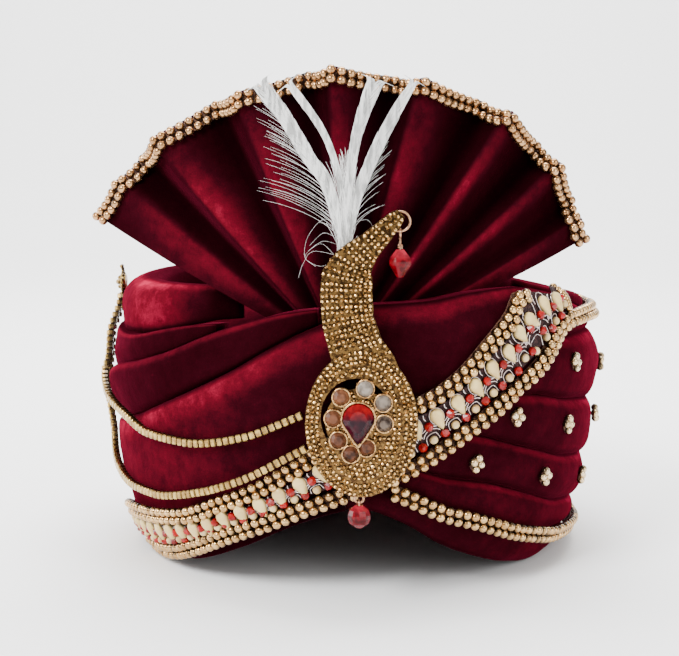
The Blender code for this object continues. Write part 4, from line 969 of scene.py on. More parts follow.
def velvet_finish(name, settings):
    """Crushed velvet: painted light and shade from near black to crimson, broken into random patches of
    crushed pile, and a shader sheen where it turns away.
    """
    made = Finish(name, sheen_weight=settings.sheen, sheen_roughness=0.30, roughness=0.85,
                  sheen_tint=rgb(settings.sheen_colour), specular_ior_level=0.0)
    # Painted light and shade, kept for each point of the velvet pieces, sets how dark or bright the colour is
    painted_light = made.noted("painted_light")
    patches = made.range(made.noise(48.0, 4.0, 0.6), 0.30, 0.70)
    flecks = made.noise(230.0, 4.0, 0.65)
    pile = made.noise(1500.0, 2.0, 0.6)
    light_and_crush = painted_light * (patches * 0.42 + flecks * 1.05 + pile * 0.55)
    stops = [(0.0, rgb(settings.dark_colour, 0.10)), (0.22, rgb(settings.dark_colour)),
             (0.55, rgb(settings.middle_colour)), (0.85, rgb(settings.bright_colour)),
             (1.0, rgb(settings.bright_colour, 1.5))]
    colour = made.node("ShaderNodeValToRGB", {"stops": stops}, {"Fac": light_and_crush.held()}, out="Color")
    made.set(base_color=colour, roughness=made.range(light_and_crush, 0.0, 1.0, 0.92, 0.72))
    return made.bump(patches * 0.25 + flecks * 0.45 + pile * 0.30, 0.0008, 0.6).made


def lining_finish():
    """Plain woven cotton inside the cap."""
    made = Finish("lining_cotton", roughness=0.9, sheen_weight=0.1)
    weave = made.cells(1400.0)
    tone = made.noise(60.0, 4.0)
    made.set(base_color=made.blend(tone, rgb((0.035, 0.004, 0.008)), rgb((0.075, 0.008, 0.015))),
             roughness=made.range(weave, 0.0, 0.6, 0.85, 0.95))
    return made.bump(weave, 0.0004, 0.5).made


def pearl_finish(name, colour, worn, roughness=0.2, painted_seat_shade=True):
    """Gold-coloured metal in random tones. Where asked, beads and links get painted shade: dark brown towards
    their seats.
    """
    made = Finish(name, metallic=0.92, roughness=roughness, coat_weight=0.25, coat_roughness=0.08)
    tone = made.range(made.noise(330.0, 2.0, 0.5), 0.35, 0.68)
    body = made.blend(tone, rgb(worn), rgb(colour))
    if painted_seat_shade:
        # Painted shade: dark brown towards each bead's seat
        proud = made.noted("relief")
        body = made.blend(made.range(proud, 0.40, 0.82), rgb(worn, 0.16), body)
    wear = made.noise(900.0, 2.0)
    made.set(base_color=body, roughness=made.range(wear, 0.3, 0.7, roughness - 0.06, roughness + 0.1))
    return made.bump(made.noise(1400.0, 2.0), 0.0001, 0.35).made


def thread_finish(name, colour, shade):
    """Metal thread or net, seen as fine crossing lines."""
    made = Finish(name, roughness=0.55, metallic=0.3)
    threads = made.cells(1500.0)
    made.set(base_color=made.blend(made.range(threads, 0.1, 0.6), rgb(colour), rgb(shade)),
             roughness=made.range(threads, 0.0, 0.6, 0.45, 0.75))
    return made.bump(threads, 0.0003, 0.6).made


def enamel_finish(name, colour, shade, roughness=0.12, coat=1.0, scale=260.0):
    """Glass or enamel beads with a wet look, a little colour play, and painted shade: darker towards each
    bead's seat.
    """
    made = Finish(name, roughness=roughness, coat_weight=coat, coat_roughness=0.04, specular_ior_level=0.3)
    tone = made.noise(scale, 2.0, 0.5)
    body = made.blend(made.range(tone, 0.32, 0.7), rgb(shade), rgb(colour))
    # Painted shade towards each bead's seat
    proud = made.noted("relief")
    made.set(base_color=made.blend(made.range(proud, 0.25, 0.75), rgb(shade, 0.35), body),
             roughness=made.range(made.noise(scale * 3, 2.0), 0.3, 0.7, roughness * 0.7, roughness * 1.5))
    return made.made


def brooch_finish(name, colour, shade, painted_seat_shade=True):
    """Antique gold in random tones, and where asked painted shade: bright on the high spots and dark brown
    towards each stud's seat.
    """
    made = Finish(name, metallic=1.0, roughness=0.22, coat_weight=0.1, coat_roughness=0.1)
    tone = made.noise(640.0, 2.0, 0.6)
    mix = made.range(tone, 0.38, 0.60)
    body = made.blend(mix, rgb(shade), rgb(colour))
    if painted_seat_shade:
        # Painted shade towards each stud's seat
        proud = made.noted("relief")
        body = made.blend(made.range(proud, 0.30, 0.88), rgb(shade, 0.16), body)
    made.set(base_color=body, roughness=made.range(tone, 0.3, 0.7, 0.12, 0.34))
    return made.bump(tone, 0.0002, 0.4).made


def stone_finish(name, colour, deep, light, high, low):
    """A cut stone with painted light: its upper side is painted paler, where the light passes in, and it is
    deep below.
    """
    made = Finish(name, roughness=0.14, coat_weight=0.06, coat_roughness=0.04, specular_ior_level=0.14)
    height = made.node("ShaderNodeSeparateXYZ", sockets={"Vector": made.place}, out="Z")
    climb = made.range(height, low, high)
    clouds = made.range(made.noise(420.0, 2.0, 0.5), 0.35, 0.65)
    body = made.blend(clouds, rgb(deep), rgb(colour))
    # Painted light: paler towards the upper side
    made.set(base_color=made.blend((climb * (0.55 + clouds * 0.45)).held(), body, rgb(light)))
    return made.made


def feather_finish(colour):
    made = Finish("feather_down", roughness=0.7, sheen_weight=0.5, sheen_roughness=0.4)
    tone = made.range(made.noise(620.0, 3.0, 0.6, stretch=(1.0, 1.0, 0.16)), 0.38, 0.56)
    return made.set(base_color=made.blend(tone, rgb(colour, 0.50), rgb(colour))).made


def floor_finish(colour):
    made = Finish("studio_paper", roughness=0.9)
    return made.set(base_color=made.blend(made.noise(3.0, 2.0), rgb(colour, 0.995), rgb(colour))).made


def scene_finishes():
    """The finishes that several pieces share, made once."""
    held = bpy.data.materials
    if "velvet_pile" in held:
        return {name: held[name] for name in SHARED_FINISHES}
    settings = bpy.context.scene.turban_velvet
    trims, lace = bpy.context.scene.turban_trims, bpy.context.scene.turban_lace
    jewels = bpy.context.scene.turban_jewels
    velvet_finish("velvet_pile", settings)
    lining_finish()
    pearl_finish("gold_pearl", trims.colour, trims.worn_and_shade_colour)
    pearl_finish("bronze_pearl", (0.56, 0.315, 0.14), (0.34, 0.165, 0.060))
    thread_finish("gold_thread", (0.22, 0.095, 0.040), (0.050, 0.014, 0.008))
    # This dark finish serves the lace's net and the painted shade inside the chains
    thread_finish("dark_net_and_shade", (0.070, 0.014, 0.012), (0.012, 0.001, 0.002))
    pearl_finish("silver_wire", (0.90, 0.82, 0.80), (0.66, 0.52, 0.48), 0.3, False)
    enamel_finish("ivory_enamel", lace.ivory_colour, (0.60, 0.42, 0.16), 0.35, 0.15, 150.0)
    enamel_finish("cream_enamel", (0.72, 0.54, 0.27), (0.50, 0.32, 0.12), 0.25, 0.3, 200.0)
    enamel_finish("red_glass", lace.red_colour, (0.16, 0.003, 0.003), 0.18, 0.15)
    brooch_finish("antique_gold", jewels.gold_colour, (0.20, 0.095, 0.022))
    brooch_finish("bezel_gold", (0.62, 0.38, 0.16), (0.30, 0.15, 0.06), False)
    pearl_finish("copper_wire", (0.52, 0.29, 0.17), (0.34, 0.17, 0.09), 0.3, False)
    pearl_finish("link_gold", (0.52, 0.35, 0.105), (0.26, 0.15, 0.04), 0.24)
    pearl_finish("hook_gold", (0.56, 0.38, 0.12), (0.34, 0.21, 0.06), 0.24, False)
    pearl_finish("cluster_gold", (0.84, 0.66, 0.40), (0.62, 0.43, 0.21), 0.22)
    return {name: held[name] for name in SHARED_FINISHES}


SHARED_FINISHES = ("velvet_pile", "lining_cotton", "gold_pearl", "bronze_pearl", "gold_thread", "dark_net_and_shade",
                   "silver_wire", "ivory_enamel", "cream_enamel", "red_glass", "antique_gold", "bezel_gold",
                   "copper_wire", "link_gold", "hook_gold", "cluster_gold")


# ---- settings
def colour_of(name, text, default):
    return bpy.props.FloatVectorProperty(name=name, description=text, subtype="COLOR", size=3, min=0, max=1,
                                         default=default)


def length_of(name, text, low, high, default):
    return bpy.props.FloatProperty(name=name, description=text, unit="LENGTH", min=low, max=high,
                                   default=default)


def number_of(name, text, low, high, default, subtype="NONE"):
    return bpy.props.FloatProperty(name=name, description=text, min=low, max=high, default=default,
                                   subtype=subtype)


def count_of(name, text, high, default):
    return bpy.props.IntProperty(name=name, description=text, min=0, max=high, default=default)


class TurbanVelvetSettings(bpy.types.PropertyGroup):
    # The velvet's painted light and shade runs through these colours, from painted shade to painted highlight
    dark_colour: colour_of("Dark nap", "Colour where the nap lies away from the light",
                           (0.021, 0.0014, 0.0036))
    middle_colour: colour_of("Middle nap", "Colour where the nap lies half way", (0.088, 0.0032, 0.0092))
    bright_colour: colour_of("Bright nap", "Colour where the nap faces the light", (0.23, 0.0070, 0.027))
    sheen_colour: colour_of("Sheen", "Colour of the pile seen edge on", (0.95, 0.05, 0.16))
    sheen: number_of("Sheen strength", "How bright the pile is seen edge on", 0, 1, 0.16, "FACTOR")
    dent: length_of("Dents", "How deep the soft dents in the folds are", 0, 0.003, 0.0009)
    step: number_of("Step", "Degrees between the stations of a fold", 0.5, 6, 1.5)


class TurbanTrimSettings(bpy.types.PropertyGroup):
    ball: length_of("Ball size", "Diameter of a gold pearl", 0.001, 0.006, 0.0040)
    pitch: length_of("Pitch", "From one pearl to the next", 0.002, 0.01, 0.0043)
    colour: colour_of("Gold", "Colour of the pearls", (0.71, 0.45, 0.185))
    # This colour gives some pearls a browner tone, and darkened it is the painted shade at their seats
    worn_and_shade_colour: colour_of("Shaded gold", "Browner tone of some pearls", (0.42, 0.235, 0.082))


class TurbanLaceSettings(bpy.types.PropertyGroup):
    pitch: length_of("Pattern pitch", "From one ivory drop to the next", 0.006, 0.02, 0.0100)
    ivory_colour: colour_of("Ivory", "Colour of the ivory drops", (0.76, 0.57, 0.23))
    red_colour: colour_of("Red", "Colour of the red beads", (0.34, 0.004, 0.004))
    wire: length_of("Wire", "Diameter of the silver wire", 0.0002, 0.001, 0.00044)


class TurbanJewelSettings(bpy.types.PropertyGroup):
    stud: length_of("Stud size", "Diameter of a stud on the brooch", 0.001, 0.003, 0.0018)
    stud_pitch: length_of("Stud pitch", "From one stud to the next", 0.001, 0.004, 0.00182)
    gold_colour: colour_of("Gold", "Colour of the brooch's gold", (0.90, 0.57, 0.225))
    link_pitch: length_of("Link pitch", "From one link of a chain to the next", 0.001, 0.005, 0.0031)


class TurbanPlumeSettings(bpy.types.PropertyGroup):
    barb_pitch: length_of("Barb pitch", "From one barb of a feather to the next", 0.0001, 0.002, 0.00030)
    barb: length_of("Barb", "Diameter of a barb", 0.00005, 0.001, 0.00024)
    down: count_of("Down", "How many soft barbs fill the root", 1500, 360)
    hairs: count_of("Loose hairs", "How many single hairs stand out at the sides", 200, 60)
    hair: length_of("Hair", "Diameter of a loose hair", 0.00005, 0.001, 0.00012)
    colour: colour_of("White", "Colour of the feathers", (0.95, 0.95, 0.93))


class TurbanStageSettings(bpy.types.PropertyGroup):
    floor_colour: colour_of("Floor", "Colour of the floor", (0.97, 0.97, 0.97))
    world: number_of("Room light", "Strength of the light from all sides", 0, 5, 0.74)
    key: number_of("Key light", "Power of the main lamp", 0, 500, 30.0)
    paper: number_of("Paper light", "Power of the lamp on the paper behind", 0, 500, 85.0)


# ---- folds, crown and cap
# Painted light and shade on each piece, how bright it is painted: (turn, share)
PAINTED_LIGHT = {
    "hem_roll": [(-2, 0.18), (20, 0.20), (50, 0.30), (75, 0.42), (174, 0.34)],
    "low_roll": [(-2, 0.18), (40, 0.25), (62, 0.37), (80, 0.50), (120, 0.38), (194, 0.34)],
    "middle_roll": [(-2, 0.16), (40, 0.21), (62, 0.32), (80, 0.48), (120, 0.38), (264, 0.36)],
    "high_fold": [(10, 0.16), (45, 0.21), (62, 0.32), (80, 0.48), (120, 0.38), (240, 0.38), (268, 0.44),
                  (285, 0.25), (305, 0.16), (352, 0.12)],
    "top_fold": [(22, 0.16), (45, 0.22), (62, 0.32), (80, 0.48), (120, 0.38), (240, 0.38), (268, 0.42),
                 (285, 0.24), (328, 0.12)],
    "front_panel": [(-2, 0.10), (12, 0.14), (22, 0.20), (38, 0.21), (60, 0.34), (84, 0.42)],
    "sweep_fold": [(174, 0.34), (240, 0.42), (268, 0.54), (282, 0.44), (300, 0.36), (315, 0.38), (335, 0.25),
                   (358, 0.13)],
    "crown_wrap": [(52, 0.26), (90, 0.40), (180, 0.36), (245, 0.44), (268, 0.52), (303, 0.54), (313, 0.28),
                   (321, 0.06), (328, 0.03)],
}


def painted_light_at(name, turns, share):
    """Painted light and shade at turns and shares of the way up a fold: painted shade in the creases and
    under the upper edge, and a painted lit rim above.
    """
    level = Table(PAINTED_LIGHT[name])(turns)
    crease = 0.12 + 0.88 * smooth_step(share, 0.0, 0.16)
    under_edge = 1 - 0.75 * smooth_step(share, 0.965, 1.0)
    rim = 0.26 * smooth_step(share, 0.80, 0.93)
    return (level + rim) * crease * under_edge


def fold_mesh(name, winding, settings, seed, material):
    """A fold as a closed form, fine round its outside, with soft dents that follow the winding."""
    first, last = winding.first + 0.1, winding.last - 0.1
    turns = stations(first, last, settings.step)
    low, high = winding.lower(turns), winding.upper(turns)
    low = low + np.where(low > 0.0005, CLEARANCE / 2, 0.0)
    high = high - CLEARANCE / 2
    t = 0.5 - 0.5 * np.cos(math.pi * np.linspace(0, 1, 26))
    heights = low[:, None] + t * (high - low)[:, None]
    around = turns[:, None]
    reach = winding.reach(around, heights)
    long_dents = Ripples(seed)(around / 9.0, heights / 0.0065)
    small_dents = Ripples(seed + 50, 12, 4.0)(around / 3.5, heights / 0.0045)
    full = np.clip(reach - crease_half_width(heights), 0, 0.004) / 0.004
    dents = np.clip(0.35 + 0.45 * long_dents, 0, 1.6) + 0.22 * np.clip(small_dents, 0, 2)
    outside = on_oval(around, reach - settings.dent * dents * full, heights)
    back = low[:, None] + np.array([1.0, 0.75, 0.5, 0.25, 0.0]) * (high - low)[:, None]
    inside = on_oval(around, pocket_half_width(around, back), back)
    mesh = loft(name + "_velvet", np.concatenate([outside, inside], axis=1), material)
    # Painted light and shade on the outside, and dark painted shade on the hidden back
    painted_light = np.concatenate([painted_light_at(name, around, t), np.full(back.shape, HIDDEN_PAINTED_SHADE)], axis=1)
    return note(mesh, "painted_light", painted_light)


HIDDEN_PAINTED_SHADE = 0.05  # painted shade: how bright the colour is painted where nothing lights it


class TURBAN_OT_folds(bpy.types.Operator):
    """Winds the velvet folds"""

    bl_idname = "turban.folds"
    bl_label = "Velvet folds"

    def execute(self, context):
        scene, finishes = context.scene, scene_finishes()
        velvet = finishes["velvet_pile"]
        for seed, (name, winding) in enumerate(WINDINGS.items()):
            mesh = fold_mesh(name, winding, scene.turban_velvet, 10 + seed, velvet)
            piece(name + "_velvet", mesh, [name])
        return {"FINISHED"}


class TURBAN_OT_crown(bpy.types.Operator):
    """Wraps the crown round the top of the cap"""

    bl_idname = "turban.crown"
    bl_label = "Crown wrap"

    def execute(self, context):
        scene, finishes = context.scene, scene_finishes()
        settings = scene.turban_velvet
        turns = np.linspace(CROWN_WALL[0][0], CROWN_WALL[-1][0], 190)
        low, high = crown_foot(turns) + CLEARANCE, WRAP_HEIGHT * CROWN_TOP_TABLE(turns)
        t = 0.5 - 0.5 * np.cos(math.pi * np.linspace(0, 1, 24))
        heights = low[:, None] + t * (high - low)[:, None]
        around = turns[:, None]
        reach = crown_reach(around, heights)
        ease = np.sin(math.pi * t) ** 0.6
        dents = (0.4 + 0.5 * Ripples(31)(around / 7.0, heights / 0.012)).clip(0, 2) * ease
        outside = on_oval(around, reach - settings.dent * dents, heights)
        inside = cap_half_width() + CLEARANCE
        back = np.stack([high - 0.12 * (high - low), low], axis=1)
        rings = np.concatenate([outside, on_oval(around, inside, back)], axis=1)
        mesh = loft("crown_velvet", rings, finishes["velvet_pile"])
        # Painted light and shade on the crown, as on the folds
        painted_light = np.concatenate([painted_light_at("crown_wrap", around, t), np.full(back.shape, HIDDEN_PAINTED_SHADE)], axis=1)
        note(mesh, "painted_light", painted_light)
        piece("crown_velvet", mesh, ["crown_wrap"])
        return {"FINISHED"}


def cap_side(share, half_width):
    """The cap's half-width at a share of the way up: straight sides and a rounded shoulder."""
    rise = np.clip((share - CAP_SHOULDER) / (1 - CAP_SHOULDER), 0, 1)
    return half_width * (1 - rise**CAP_SQUARENESS) ** (1 / CAP_SQUARENESS)


class TURBAN_OT_cap(bpy.types.Operator):
    """Covers the cap with gathered velvet and lines it"""

    bl_idname = "turban.cap"
    bl_label = "Cap"

    def execute(self, context):
        finishes = scene_finishes()
        turns = np.arange(0, 360, 2.0)
        shares = np.concatenate([np.linspace(0, 0.7, 8), 1 - 0.3 * np.linspace(0.93, 0, 16) ** 1.6])
        shares[-1] = 0.9995
        outer_top, inner_top = HOLLOW_HEIGHT + CAP_WALL, HOLLOW_HEIGHT
        rings = []
        walls = ((outer_top, cap_half_width(), shares), (inner_top, HEAD_HALF_WIDTH, shares[::-1]))
        for top, width, order in walls:
            for share in order:
                foot = rim_height(turns) + CAP_LIFT
                narrow = cap_side(share, width) / width
                height = foot + share * (top - foot)
                if top == outer_top and share > 0.75:
                    drift = 0.8 * Ripples(5)(turns / 20.0, 0 * turns)
                    pleat = np.abs(np.sin(np.radians(turns * 11) + drift))
                    height = height - 0.0016 * pleat * smooth_step(share, 0.75, 0.97) * narrow
                x = width * narrow * np.sin(np.radians(turns)) + SHIFT.x
                y = -(width + HEAD_LENGTHENING) * narrow * np.cos(np.radians(turns)) + SHIFT.y
                rings.append(np.stack([x, y, height], -1))
        rings = np.asarray(rings)
        levels, count = rings.shape[:2]
        half = levels // 2
        points = list(rings.reshape(-1, 3)) + [(SHIFT.x, SHIFT.y, outer_top), (SHIFT.x, SHIFT.y, inner_top)]
        faces, kinds = [], []
        for level in range(levels):
            if level == half - 1:
                continue
            faces += tube_faces(level * count, (level + 1) % levels * count, count)
            kinds += [0 if level < half else 1] * count
        for j in range(count):
            k = (j + 1) % count
            faces += [((half - 1) * count + j, (half - 1) * count + k, levels * count),
                      (half * count + k, half * count + j, levels * count + 1)]
            kinds += [0, 1]
        mesh = mesh_of("cap_velvet", points, faces, [finishes["velvet_pile"], finishes["lining_cotton"]],
                       True, 60, kinds)
        # Painted shade on the cap: darker towards the front
        note(mesh, "painted_light", 0.03 + 0.39 * smooth_step(np.array(points)[:, 1], -0.075, -0.030))
        piece("cap_velvet", mesh, ["cap"])
        return {"FINISHED"}


# ---- fan and trims
class TURBAN_OT_fan(bpy.types.Operator):
    """Pleats the fan"""

    bl_idname = "turban.fan"
    bl_label = "Fan"

    def execute(self, context):
        finishes = scene_finishes()
        columns = fan_columns(8)
        t = np.linspace(0, 1, 42)
        root = FAN_ROOT / FAN_REACH
        wave = Ripples(77)
        rings, middle, painted_light = [], [], []
        # Painted light and shade on the fan: steep faces and pleats that stand back are painted darker,
        # ridges lighter, and the root and outer edge darker
        steep = np.abs(np.gradient([c[2] for c in columns]) / np.gradient([c[0] for c in columns]))
        shade = 1 - 0.80 * smooth_step(steep, 0.15, 0.30)
        for (angle, reach, back), dim in zip(columns, shade):
            shares = root + t * (reach - 0.0006 / FAN_REACH - root)
            soft = 0.055 * wave(angle / 6.0 + 0 * t, shares * 9.0) * smooth_step(t, 0.25, 0.8)
            front = fan_point(angle, shares, back + soft, FAN_SHEET * 0.4)
            behind = fan_point(angle, shares, back + soft, -FAN_SHEET * 0.4)
            middle.append(fan_point(angle, shares, back + soft))
            rings.append(np.concatenate([front, behind[::-1]]))
            lit = 0.04 + 0.48 * dim * np.clip((0.92 - back) / 1.75, 0, 1) ** 1.1
            lit = lit * (1 - 0.45 * smooth_step(t, 0.66, 0.90)) * (0.45 + 0.55 * smooth_step(t, 0.10, 0.40))
            painted_light += [lit, 0.45 + 0 * lit]
        mesh = loft("fan_velvet", rings, finishes["velvet_pile"], sharp_deg=70)
        note(mesh, "painted_light", painted_light)
        fan = piece("fan_velvet", mesh, ["fan"])
        return {"FINISHED"}


def balls_along(name, rows, trims, finish, replaces, seed):
    bead = ball(name + "_ball", trims.ball / 2, finish)
    values = {"Finish": finish, "Pitch": trims.pitch, "Turn": 0.6, "Seed": seed}
    return grow(name, "path", rows, values, replaces, bead)


def tape(name, strip, thickness, edge, material, replaces=()):
    """The thin ribbon that carries a trim or the lace."""
    shares = [edge, 0.35, 0.65, 1 - edge]
    rings = np.array([strip.section(turn, shares + shares[::-1], [0.0] * 4 + [thickness] * 4)
                      for turn in stations(*strip.run, STATION)])
    made = piece(name, loft(name, rings, material, sharp_deg=50), replaces)


class TURBAN_OT_trims(bpy.types.Operator):
    """Sews double rows of gold pearls along the fan, the wide band and the hem"""

    bl_idname = "turban.trims"
    bl_label = "Pearl trims"

    def execute(self, context):
        scene, finishes = context.scene, scene_finishes()
        trims = scene.turban_trims
        radius = trims.ball / 2
        for seed, name in enumerate(("band_edge_upper", "band_edge_lower", "narrow_trim")):
            strip = STRIPS[name]
            rows = []
            for share in TRIM_ROWS:
                rows.append(path(*strip.row(share, PEARL_LIFT + radius)))
            balls_along(name + "_pearls", rows, trims, finishes["gold_pearl"], [name], 3 + seed)
            tape(name + "_tape", strip, TAPE, TAPE_EDGE, finishes["gold_thread"])
        columns = fan_columns(6)
        rows = []
        for inward in TRIM_ROWS:
            points = [fan_point(a, r - inward * EDGE_WIDTH / FAN_REACH, b, FAN_SHEET / 2 + 0.0008 + radius)
                      for a, r, b in columns]
            rows.append(path(points))
        balls_along("fan_trim_pearls", rows, trims, finishes["bronze_pearl"], ["fan_trim"], 9)
        rings = []
        for a, r, b in columns:
            shares = r - np.array(FAN_TAPE_ROWS) * EDGE_WIDTH / FAN_REACH
            low, high = (fan_point(a, order, b, FAN_SHEET / 2 + lift)
                         for order, lift in zip((shares, shares[::-1]), FAN_TAPE_LIFTS))
            rings.append(np.concatenate([low, high]))
        rings = np.array(rings)
        mesh = loft("fan_trim_tape", rings, finishes["gold_thread"], sharp_deg=50)
        piece("fan_trim_tape", mesh)
        return {"FINISHED"}


# ---- lace
class Unrolled:
    """The lace band laid flat: distances along and across it, turned back into places on the cloth."""

    def __init__(self, strip):
        self.strip = strip
        self.turns = np.arange(strip.run[0] - 6, strip.run[1] + 6, LACE_STATION)
        angle = np.radians(self.turns)
        step = np.hypot(LACE_HALF_WIDTH * np.cos(angle), LACE_HALF_DEPTH * np.sin(angle))
        self.arc = running(np.radians(LACE_STATION) * 0.5 * (step[1:] + step[:-1]))
        edges = np.array([strip.edges(t) for t in self.turns])
        self.low, self.high = edges[:, 0], edges[:, 1]
        middle = 0.5 * (self.low + self.high)
        self.slope = np.gradient(middle, self.arc)
        self.along, self.middle = running(np.hypot(np.diff(self.arc), np.diff(middle))), middle

    def place(self, along, across, up):
        """A point at a distance along the band and a share of its width, from its upper seam down."""
        arc, middle, slope = (np.interp(along, self.along, v) for v in (self.arc, self.middle, self.slope))
        tall = np.interp(along, self.along, self.high - self.low)
        length = math.hypot(1, slope)
        width = tall / length
        offset = (across - 0.5) * width
        x, z = arc + offset * slope / length, middle - offset / length
        turn = float(np.interp(x, self.arc, self.turns))
        reach = draped(turn, *self.strip.span(turn))
        z = min(max(z, 0.001), top_of_cloth(turn))
        return on_oval(turn, float(reach(z)) + BAND_SEAT + up, z)

    def frame(self, along, across, up):
        """The point, the way out and the way down the band there."""
        here = self.place(along, across, up)
        down = self.place(along, across + 0.06, up) - self.place(along, across - 0.06, up)
        ahead = self.place(along + 0.001, across, up) - self.place(along - 0.001, across, up)
        out = unit(np.cross(ahead, down))
        centre = np.array([SHIFT.x, SHIFT.y, here[2]])
        if np.dot(out, here - centre) < 0:
            out = -out
        return here, out, unit(down)


class TURBAN_OT_lace(bpy.types.Operator):
    """Fills the wide band with ivory drops, red and cream beads and silver wire on a dark net"""

    bl_idname = "turban.lace"
    bl_label = "Jewelled lace"

    def execute(self, context):
        scene, finishes = context.scene, scene_finishes()
        lace = scene.turban_lace
        strip = STRIPS["band_lace"]
        tape("lace_net", strip, NET, NET_EDGE, finishes["dark_net_and_shade"],
             ["band_lace"])
        flat = Unrolled(strip)
        first, last, end_at = (float(np.interp(turn, flat.turns, flat.along))
                               for turn in (strip.run[0] + 1.5, strip.run[1] - 5.0, strip.run[1] - 2.4))
        count = int((last - first) / lace.pitch)
        pitch = (last - first) / count
        places, wires = {"drop": [], "red": [], "cream": []}, []

        def wire(spots, size, up):
            points = [flat.place(along, across, up) for along, across in spots]
            wires.append(path(rounded(points, 3) if len(points) > 2 else points, size=size))

        for i in range(count):
            here = first + (i + 0.5) * pitch
            for kind, share, across, lift, size in LACE_BEADS:
                places[kind].append(spot(*flat.frame(here + share * pitch, across, lift), size))
            wire([(here + 0.31 * pitch * math.sin(a), 0.20 - 0.24 * math.cos(a) + 0.05 * (1 - math.cos(a)))
                  for a in np.radians(np.arange(-150, 151, 30))], 0.85, 0.0016)  # the loop round a drop
            for size, lift, shares in LACE_WIRES:
                wire([(here + share * pitch, across) for share, across in shares], size, lift)

        def put(name, spots, bead, finish, turn, seed):
            values = {"Finish": finishes[finish], "Turn": turn, "Seed": seed}
            grow(name, "spots", spots, values, (), bead)

        outline = []
        for j in range(12):
            a = 2 * math.pi * j / 12
            x, y = math.cos(a), math.sin(a)
            point = max(x, 0.0)
            outline.append((0.0030 * x + 0.0022 * point**2, 0.0026 * y * (1 - 0.45 * point)))
        drop = turned("ivory_drop", IVORY_ROWS, 12, finishes["ivory_enamel"], True, 50, outline)
        put("lace_ivory_drops", places["drop"], drop, "ivory_enamel", 0.07, 4)
        red = turned("red_bead", RED_ROWS, 8, finishes["red_glass"], False)
        put("lace_red_beads", places["red"], red, "red_glass", 0.5, 5)
        cream = ball("cream_bead", CREAM_RADIUS, finishes["cream_enamel"])
        put("lace_cream_beads", places["cream"], cream, "cream_enamel", 0.6, 6)
        grow("lace_silver_wire", "wire", wires,
             {"Finish": finishes["silver_wire"], "Radius": lace.wire / 2, "Sides": 5})
        end = [spot(*flat.frame(end_at, across, 0.0021)) for across in np.linspace(0.05, 0.95, 8)]
        pearl = ball("end_pearl", END_PEARL_RADIUS, finishes["gold_pearl"])
        put("lace_end_pearls", end, pearl, "gold_pearl", 0.6, 7)
        return {"FINISHED"}


# ---- clusters, chains and hook
def cloth_frame(turn, height, up):
    """A point on the cloth, the way out of it, and the way up it."""
    reach = max(float(cloth_reach(turn + d, height)) for d in (-1, 0, 1))
    here = on_oval(turn, reach + up, height)
    climb = (on_oval(turn, float(cloth_reach(turn, height + 0.003)), height + 0.003)
             - on_oval(turn, float(cloth_reach(turn, height - 0.003)), height - 0.003))
    ahead = on_oval(turn + 1, reach, height) - on_oval(turn - 1, reach, height)
    return here, unit(np.cross(ahead, climb)), unit(climb), unit(ahead)


class TURBAN_OT_clusters(bpy.types.Operator):
    """Sews small clusters of gold beads on the rolls"""

    bl_idname = "turban.clusters"
    bl_label = "Bead clusters"

    def execute(self, context):
        finishes = scene_finishes()
        rng = random.Random(12)
        beads, backs = [], []
        for turn, height in CLUSTERS:
            here, out, climb, ahead = cloth_frame(turn, height, 0.0011)
            tilt = rng.uniform(-0.3, 0.3)
            for a, b in CLUSTER:
                x = a * math.cos(tilt) - b * math.sin(tilt)
                y = a * math.sin(tilt) + b * math.cos(tilt)
                place = here + 0.001 * (x * ahead + y * climb)
                beads.append(spot(place, out, climb, rng.uniform(0.92, 1.08)))
            backs.append(spot(here - 0.0009 * out, out, climb, 1.0))
        values = {"Finish": finishes["cluster_gold"], "Turn": 0.5, "Seed": 21}
        grow("cluster_beads", "spots", beads, values, (),
             ball("cluster_bead", CLUSTER_RADIUS, finishes["cluster_gold"]))
        patch = turned("cluster_patch", PATCH_ROWS, 10, finishes["gold_thread"])
        values = {"Finish": finishes["gold_thread"], "Turn": 0.1, "Seed": 22}
        grow("cluster_patches", "spots", backs, values, (), patch)
        return {"FINISHED"}


def outside_half_width(turn, height):
    """Half-width of the outermost cloth or band at a place."""
    reach = max(float(cloth_reach(turn + d, height)) for d in (-1.5, 0, 1.5))
    at = turn - 360 if turn > 180 else turn
    if at < LACE[1]:
        low, _, _, high = (float(v) for v in band_edges(at))
        if low - CHAIN_RADIUS < height < high + CHAIN_RADIUS:
            reach = max(reach, float(draped(at, low, high)(height)) + BAND_SEAT + EDGE_HEIGHT)
    return reach


def chain_path(rows, points=32):
    """A chain's middle line, taut over the folds and bands under it, and the way out along it."""
    last = len(rows) - 1
    knots = [(i, *row) for i, row in enumerate(rows)]
    along = np.linspace(0, last, points)
    turns, heights = Table(knots, 1)(along), WRAP_HEIGHT * Table(knots, 2)(along)
    heights = heights + CHAIN_LIFT * smooth_step(along, 0.3 * last, 0.55 * last)
    lifts = [max(outside_half_width(t, h + d) for d in (-CHAIN_RADIUS, 0, CHAIN_RADIUS))
             for t, h in zip(turns, heights)]
    taut = [0.5 * (max(lifts[max(i - 1, 0):i + 1]) + max(lifts[i:i + 2])) for i in range(points)]
    middle, outs = [], []
    for i, (turn, height) in enumerate(zip(turns, heights)):
        around = taut[max(i - 1, 0):i + 2]
        width = max(lifts[i], sum(around) / len(around)) + CHAIN_SEAT + CHAIN_RADIUS
        middle.append(on_oval(turn, width, height))
        outs.append(way_out(turn))
    return rounded(middle), unit(rounded(outs))


